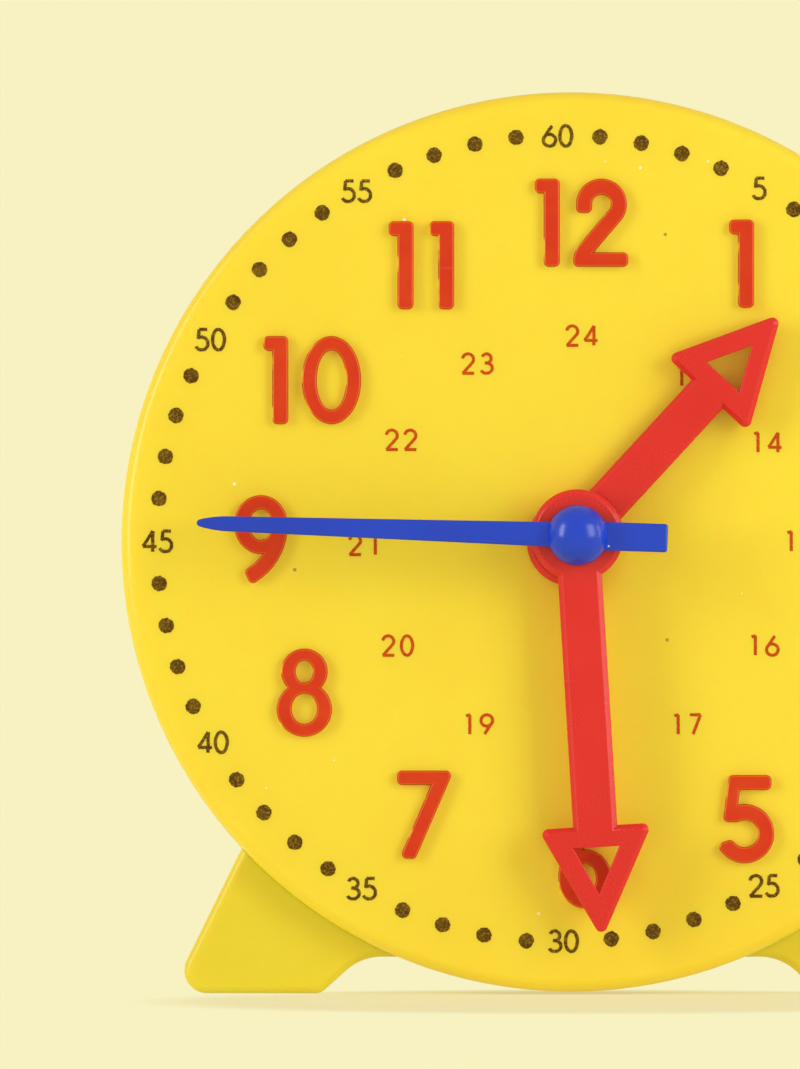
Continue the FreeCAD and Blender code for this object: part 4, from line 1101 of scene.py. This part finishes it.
@dataclass(kw_only=True)
class FigureRun(Run):
    """Printed numbers of one size, drawn with a pen that is stroke wide."""

    tall: float
    stroke: float
    pitch: float
    marks: dict[float, str]
    slips: dict[str, Spot] = field(default_factory=dict)

    BOW_STEPS = 30
    BAR_STEPS = 10
    NEARBY = 0.001

    def stroke_slab(self, name: str, stroke: Stroke) -> bpy.types.Object:
        """Draw one pen stroke as a slab.

        Args:
            name: the new piece's name.
            stroke: its path.

        Returns:
            The slab, with the figure's lower left corner at its origin.
        """
        steps = self.BOW_STEPS if isinstance(stroke, Bow) else self.BAR_STEPS
        slab = Bench.start(name, bpy.ops.mesh.primitive_grid_add, x_subdivisions=steps,
                           y_subdivisions=1, size=2.0)
        half = self.stroke / 2
        tall = self.tall - self.stroke
        for vert in slab.data.vertices:
            share = (vert.co.x + 1) / 2
            here = Vector(stroke.spot(share)) * tall
            before = Vector(stroke.spot(share - self.NEARBY)) * tall
            after = Vector(stroke.spot(share + self.NEARBY)) * tall
            side = (after - before).normalized().orthogonal() * half * vert.co.y
            vert.co = (here.x + side.x + half, 0.0, here.y + side.y + half)
        with Bench.editing(slab):
            bpy.ops.mesh.remove_doubles(threshold=FINE_WELD)
        self.thicken(slab)
        return slab

    def figure(self, digit: str) -> bpy.types.Object:
        """Make one figure as a single slab.

        Args:
            digit: which figure.

        Returns:
            The figure, with its lower left corner at its origin.
        """
        strokes = [self.stroke_slab("%s_%s_%d" % (self.name, digit, number), stroke)
                   for number, stroke in enumerate(PEN_PATHS[digit][1])]
        figure = strokes[0]
        for other in strokes[1:]:
            Bench.finish_with(figure, "BOOLEAN", operation="UNION", solver="EXACT", object=other)
            bpy.data.meshes.remove(other.data)
        self.roughen(figure, int(digit))
        return figure

    def build(self) -> None:
        """Print the numbers."""
        slabs = {digit: self.figure(digit)
                 for digit in sorted(set("".join(self.marks.values())))}
        films = []
        for minutes, text in self.marks.items():
            centre = Vector(self.place(minutes)) + Vector(self.slips.get(text, (0.0, 0.0)))
            for place, digit in enumerate(text):
                width = PEN_PATHS[digit][0] * (self.tall - self.stroke) + self.stroke
                across = centre.x + self.pitch * (place - (len(text) - 1) / 2) - width / 2
                films.append(self.lay(slabs[digit], across, centre.y - self.tall / 2))
        self.close(films, list(slabs.values()))


@dataclass(kw_only=True)
class DotRun(Run):
    """The minute dots, which leave out every fifth minute."""

    dot: float = 0.86 * MM
    corners: int = 26
    sorts: int = 6
    first_seed: int = 20
    draw_seed: int = 11

    def dot_slab(self, sort: int) -> bpy.types.Object:
        """Make one of the slightly different dots.

        Args:
            sort: which of them.

        Returns:
            The dot, with its middle at its origin.
        """
        disc = Bench.start("dot_%d" % sort, bpy.ops.mesh.primitive_circle_add,
                           vertices=self.corners, radius=self.dot, fill_type="NGON",
                           rotation=(math.pi / 2, 0, 0))
        Bench.settle(disc)
        self.thicken(disc)
        self.roughen(disc, self.first_seed + sort)
        return disc

    def build(self) -> None:
        """Print the dots."""
        draw = random.Random(self.draw_seed)
        slabs = [self.dot_slab(sort) for sort in range(self.sorts)]
        films = []
        for minute in range(60):
            if minute % 5:
                across, up = self.place(minute)
                films.append(self.lay(draw.choice(slabs), across, up))
        self.close(films, slabs)


@dataclass
class DialPrint:
    """All the print on the dial: minute dots, minute figures and second-half hours.

    The minutes are printed off the dial's centre, and so are the hours, the other way.
    """

    minutes_middle: Spot = (-1.23 * MM, 51.69 * MM)
    minutes_pole: Spot = (-0.89 * MM, 52.03 * MM)
    hours_middle: Spot = (1.18 * MM, 51.07 * MM)

    def runs(self) -> tuple[Run, ...]:
        """The three runs of print, in the order in which they are laid."""
        minutes = {float(minute): str(minute or 60) for minute in range(0, 60, 5)}
        hours = {5.0 * hour: str(12 + hour) for hour in range(1, 13)}
        slips = {"13": (0.4 * MM, -1.4 * MM), "14": (0.4 * MM, -0.3 * MM),
                 "15": (1.0 * MM, 0.3 * MM), "16": (0.1 * MM, 0.3 * MM),
                 "20": (-0.4 * MM, 0.3 * MM), "21": (-1.0 * MM, -0.1 * MM)}
        return (
            DotRun(name="minute_dots", ink=BROWN_INK, middle=self.minutes_middle,
                   pole=self.minutes_pole, ring=45.71 * MM, turn=-0.77, rough_edge=0.075 * MM),
            FigureRun(name="minute_figures", ink=BROWN_INK, middle=self.minutes_middle,
                      ring=45.6 * MM, turn=-0.4, tall=2.7 * MM, stroke=0.37 * MM,
                      pitch=1.84 * MM, marks=minutes),
            FigureRun(name="hour_figures_24", ink=ORANGE_INK, middle=self.hours_middle,
                      ring=23.6 * MM, tall=2.55 * MM, stroke=0.35 * MM, pitch=2.1 * MM,
                      rough_edge=0.018 * MM, marks=hours, slips=slips))

    def build(self) -> None:
        """Print each run in turn."""
        for run in self.runs():
            run.build()


# ------------------------------ hands, train and knobs

class Hand(Enum):
    """The three hands: node, body, material slot, finish and rounding of each."""

    HOUR = ("hour_hand", "hour", "hand_plastic", HAND_PLASTIC, 0.12 * MM)
    MINUTE = ("minute_hand", "minute", "hand_plastic", HAND_PLASTIC, 0.12 * MM)
    SECOND = ("second_hand", "second", "second_plastic", SECOND_PLASTIC, 0.07 * MM)


@dataclass
class Hands:
    """The two red arrows and the blue pointer with its domed cap."""

    rows: int = 3

    def build(self) -> None:
        """Round and dress each hand."""
        for hand in Hand:
            node, body, slot, finish, width = hand.value
            piece = Bench.soften(node.replace("_hand", "_arrow"), node, width, self.rows, is_ridge)
            register(piece, body, finish, node)


@dataclass
class Train:
    """The wheels, arbors, washers and the pin inside the casing."""

    finishes: dict[str, Finish] = field(default_factory=lambda: {
        "hour_wheel": WHEEL_PLASTIC, "idler_gear": WHEEL_PLASTIC,
        "minute_pinion": PINION_PLASTIC, "minute_arbor": ARBOR_PLASTIC,
        "hand_washer": WASHER_PLASTIC, "thrust_washer": WASHER_PLASTIC,
        "idler_pin": PIN_STEEL, "pin_clip": SPRING_STEEL, "second_arbor": PIN_STEEL,
        "drag_spring": SPRING_STEEL})

    def build(self) -> None:
        """Dress each piece of the train."""
        for node, finish in self.finishes.items():
            dress(node, finish)


@dataclass
class Knobs:
    """The red setting knob and the small blue knob behind it."""

    edge_round: float = 0.16 * MM
    small_round: float = 0.112 * MM
    edge_rows: int = 2

    def build(self) -> None:
        """Round the flutes' edges and dress the knobs."""
        setting = Bench.soften("setting_grip", "setting_knob", self.edge_round, self.edge_rows,
                               is_ridge)
        register(setting, "minute", KNOB_PLASTIC, "setting_knob")
        small = Bench.soften("second_grip", "second_knob", self.small_round, self.edge_rows,
                             is_ridge)
        register(small, "second", SECOND_PLASTIC, "second_knob")


# ------------------------------ studio

@dataclass
class Softbox:
    """A rectangular lamp that looks at the dial."""

    name: str
    place: Triple
    across: float
    tall: float
    watts: float
    aim: Triple = (0.0, -0.015, 0.052)

    def build(self) -> None:
        """Hang the lamp."""
        lamp = bpy.data.lights.new(self.name, "AREA")
        lamp.shape = "RECTANGLE"
        lamp.size = self.across
        lamp.size_y = self.tall
        lamp.energy = self.watts
        holder = bpy.data.objects.new(self.name, lamp)
        holder.location = self.place
        towards = Vector(self.aim) - Vector(self.place)
        holder.rotation_euler = towards.to_track_quat("-Z", "Y").to_euler()
        bpy.context.scene.collection.objects.link(holder)


LAMPS = (
    Softbox("left_softbox", (-0.97, -0.5, 0.34), across=0.28, tall=0.8, watts=6.2),
    Softbox("right_softbox", (0.86, -0.67, 0.36), across=0.5, tall=0.8, watts=6.4),
    Softbox("side_strip", (0.7, -0.04, 0.1), across=0.12, tall=0.6, watts=0.8))


@dataclass
class Studio:
    """The pale floor, the lamps, the fill light and the camera."""

    floor_side: float = 30.0
    distance: float = 1.2
    face: float = FACE
    camera_x: float = -19.4 * MM
    camera_z: float = 52.15 * MM
    sensor: float = 24.0
    lens: float = 237.9
    nearest: float = 0.05
    farthest: float = 50.0
    fill: float = 0.5
    fill_tint: Colour = (1.0, 0.8, 0.55)

    def build(self) -> None:
        """Set up the whole studio."""
        self.floor()
        for lamp in LAMPS:
            lamp.build()
        self.world()
        self.camera()
        bpy.context.scene.view_settings.view_transform = "Standard"

    def floor(self) -> None:
        """Lay the floor."""
        floor = Bench.start("studio_floor", bpy.ops.mesh.primitive_plane_add,
                            size=self.floor_side)
        floor.data.materials.append(CLOTH.material())

    def world(self) -> None:
        """Wire the fill light and the even background that the eye and gloss meet."""
        world = bpy.data.worlds.new("studio_air")
        bpy.context.scene.world = world
        world.use_nodes = True
        loom = Loom(world.node_tree)
        seen = loom.add("ShaderNodeLightPath", {}, {}, "Is Camera Ray")
        gloss = loom.add("ShaderNodeLightPath", {}, {}, "Is Glossy Ray")
        through = loom.add("ShaderNodeLightPath", {}, {}, "Is Transmission Ray")
        backdrop = loom.add("ShaderNodeBackground", {}, {"Color": (*CREAM, 1.0), "Strength": 1.0})
        light = loom.add("ShaderNodeBackground", {}, {"Color": (*self.fill_tint, 1.0),
                                                      "Strength": self.fill})
        shown = loom.mix(seen.larger(gloss).larger(through), light, backdrop)
        loom.add("ShaderNodeOutputWorld", {}, {"Surface": shown})

    def camera(self) -> None:
        """Stand the camera straight before the dial."""
        data = bpy.data.cameras.new("studio_camera")
        data.sensor_fit = "VERTICAL"
        data.sensor_height = self.sensor
        data.lens = self.lens
        data.clip_start = self.nearest
        data.clip_end = self.farthest
        holder = bpy.data.objects.new("studio_camera", data)
        holder.location = (self.camera_x, self.face - self.distance, self.camera_z)
        holder.rotation_euler = (math.pi / 2, 0.0, 0.0)
        bpy.context.scene.collection.objects.link(holder)
        bpy.context.scene.camera = holder


def main() -> None:
    """Build the sub-assemblies in order and note the size."""
    logging.basicConfig(level=logging.INFO, format="%(name)s: %(message)s")
    for assembly in (Casing(), Stand(), DialPrint(), Hands(), Train(), Knobs(), Studio()):
        assembly.build()
        LOG.info("%s done", type(assembly).__name__)


if __name__ == "__main__":
    main()
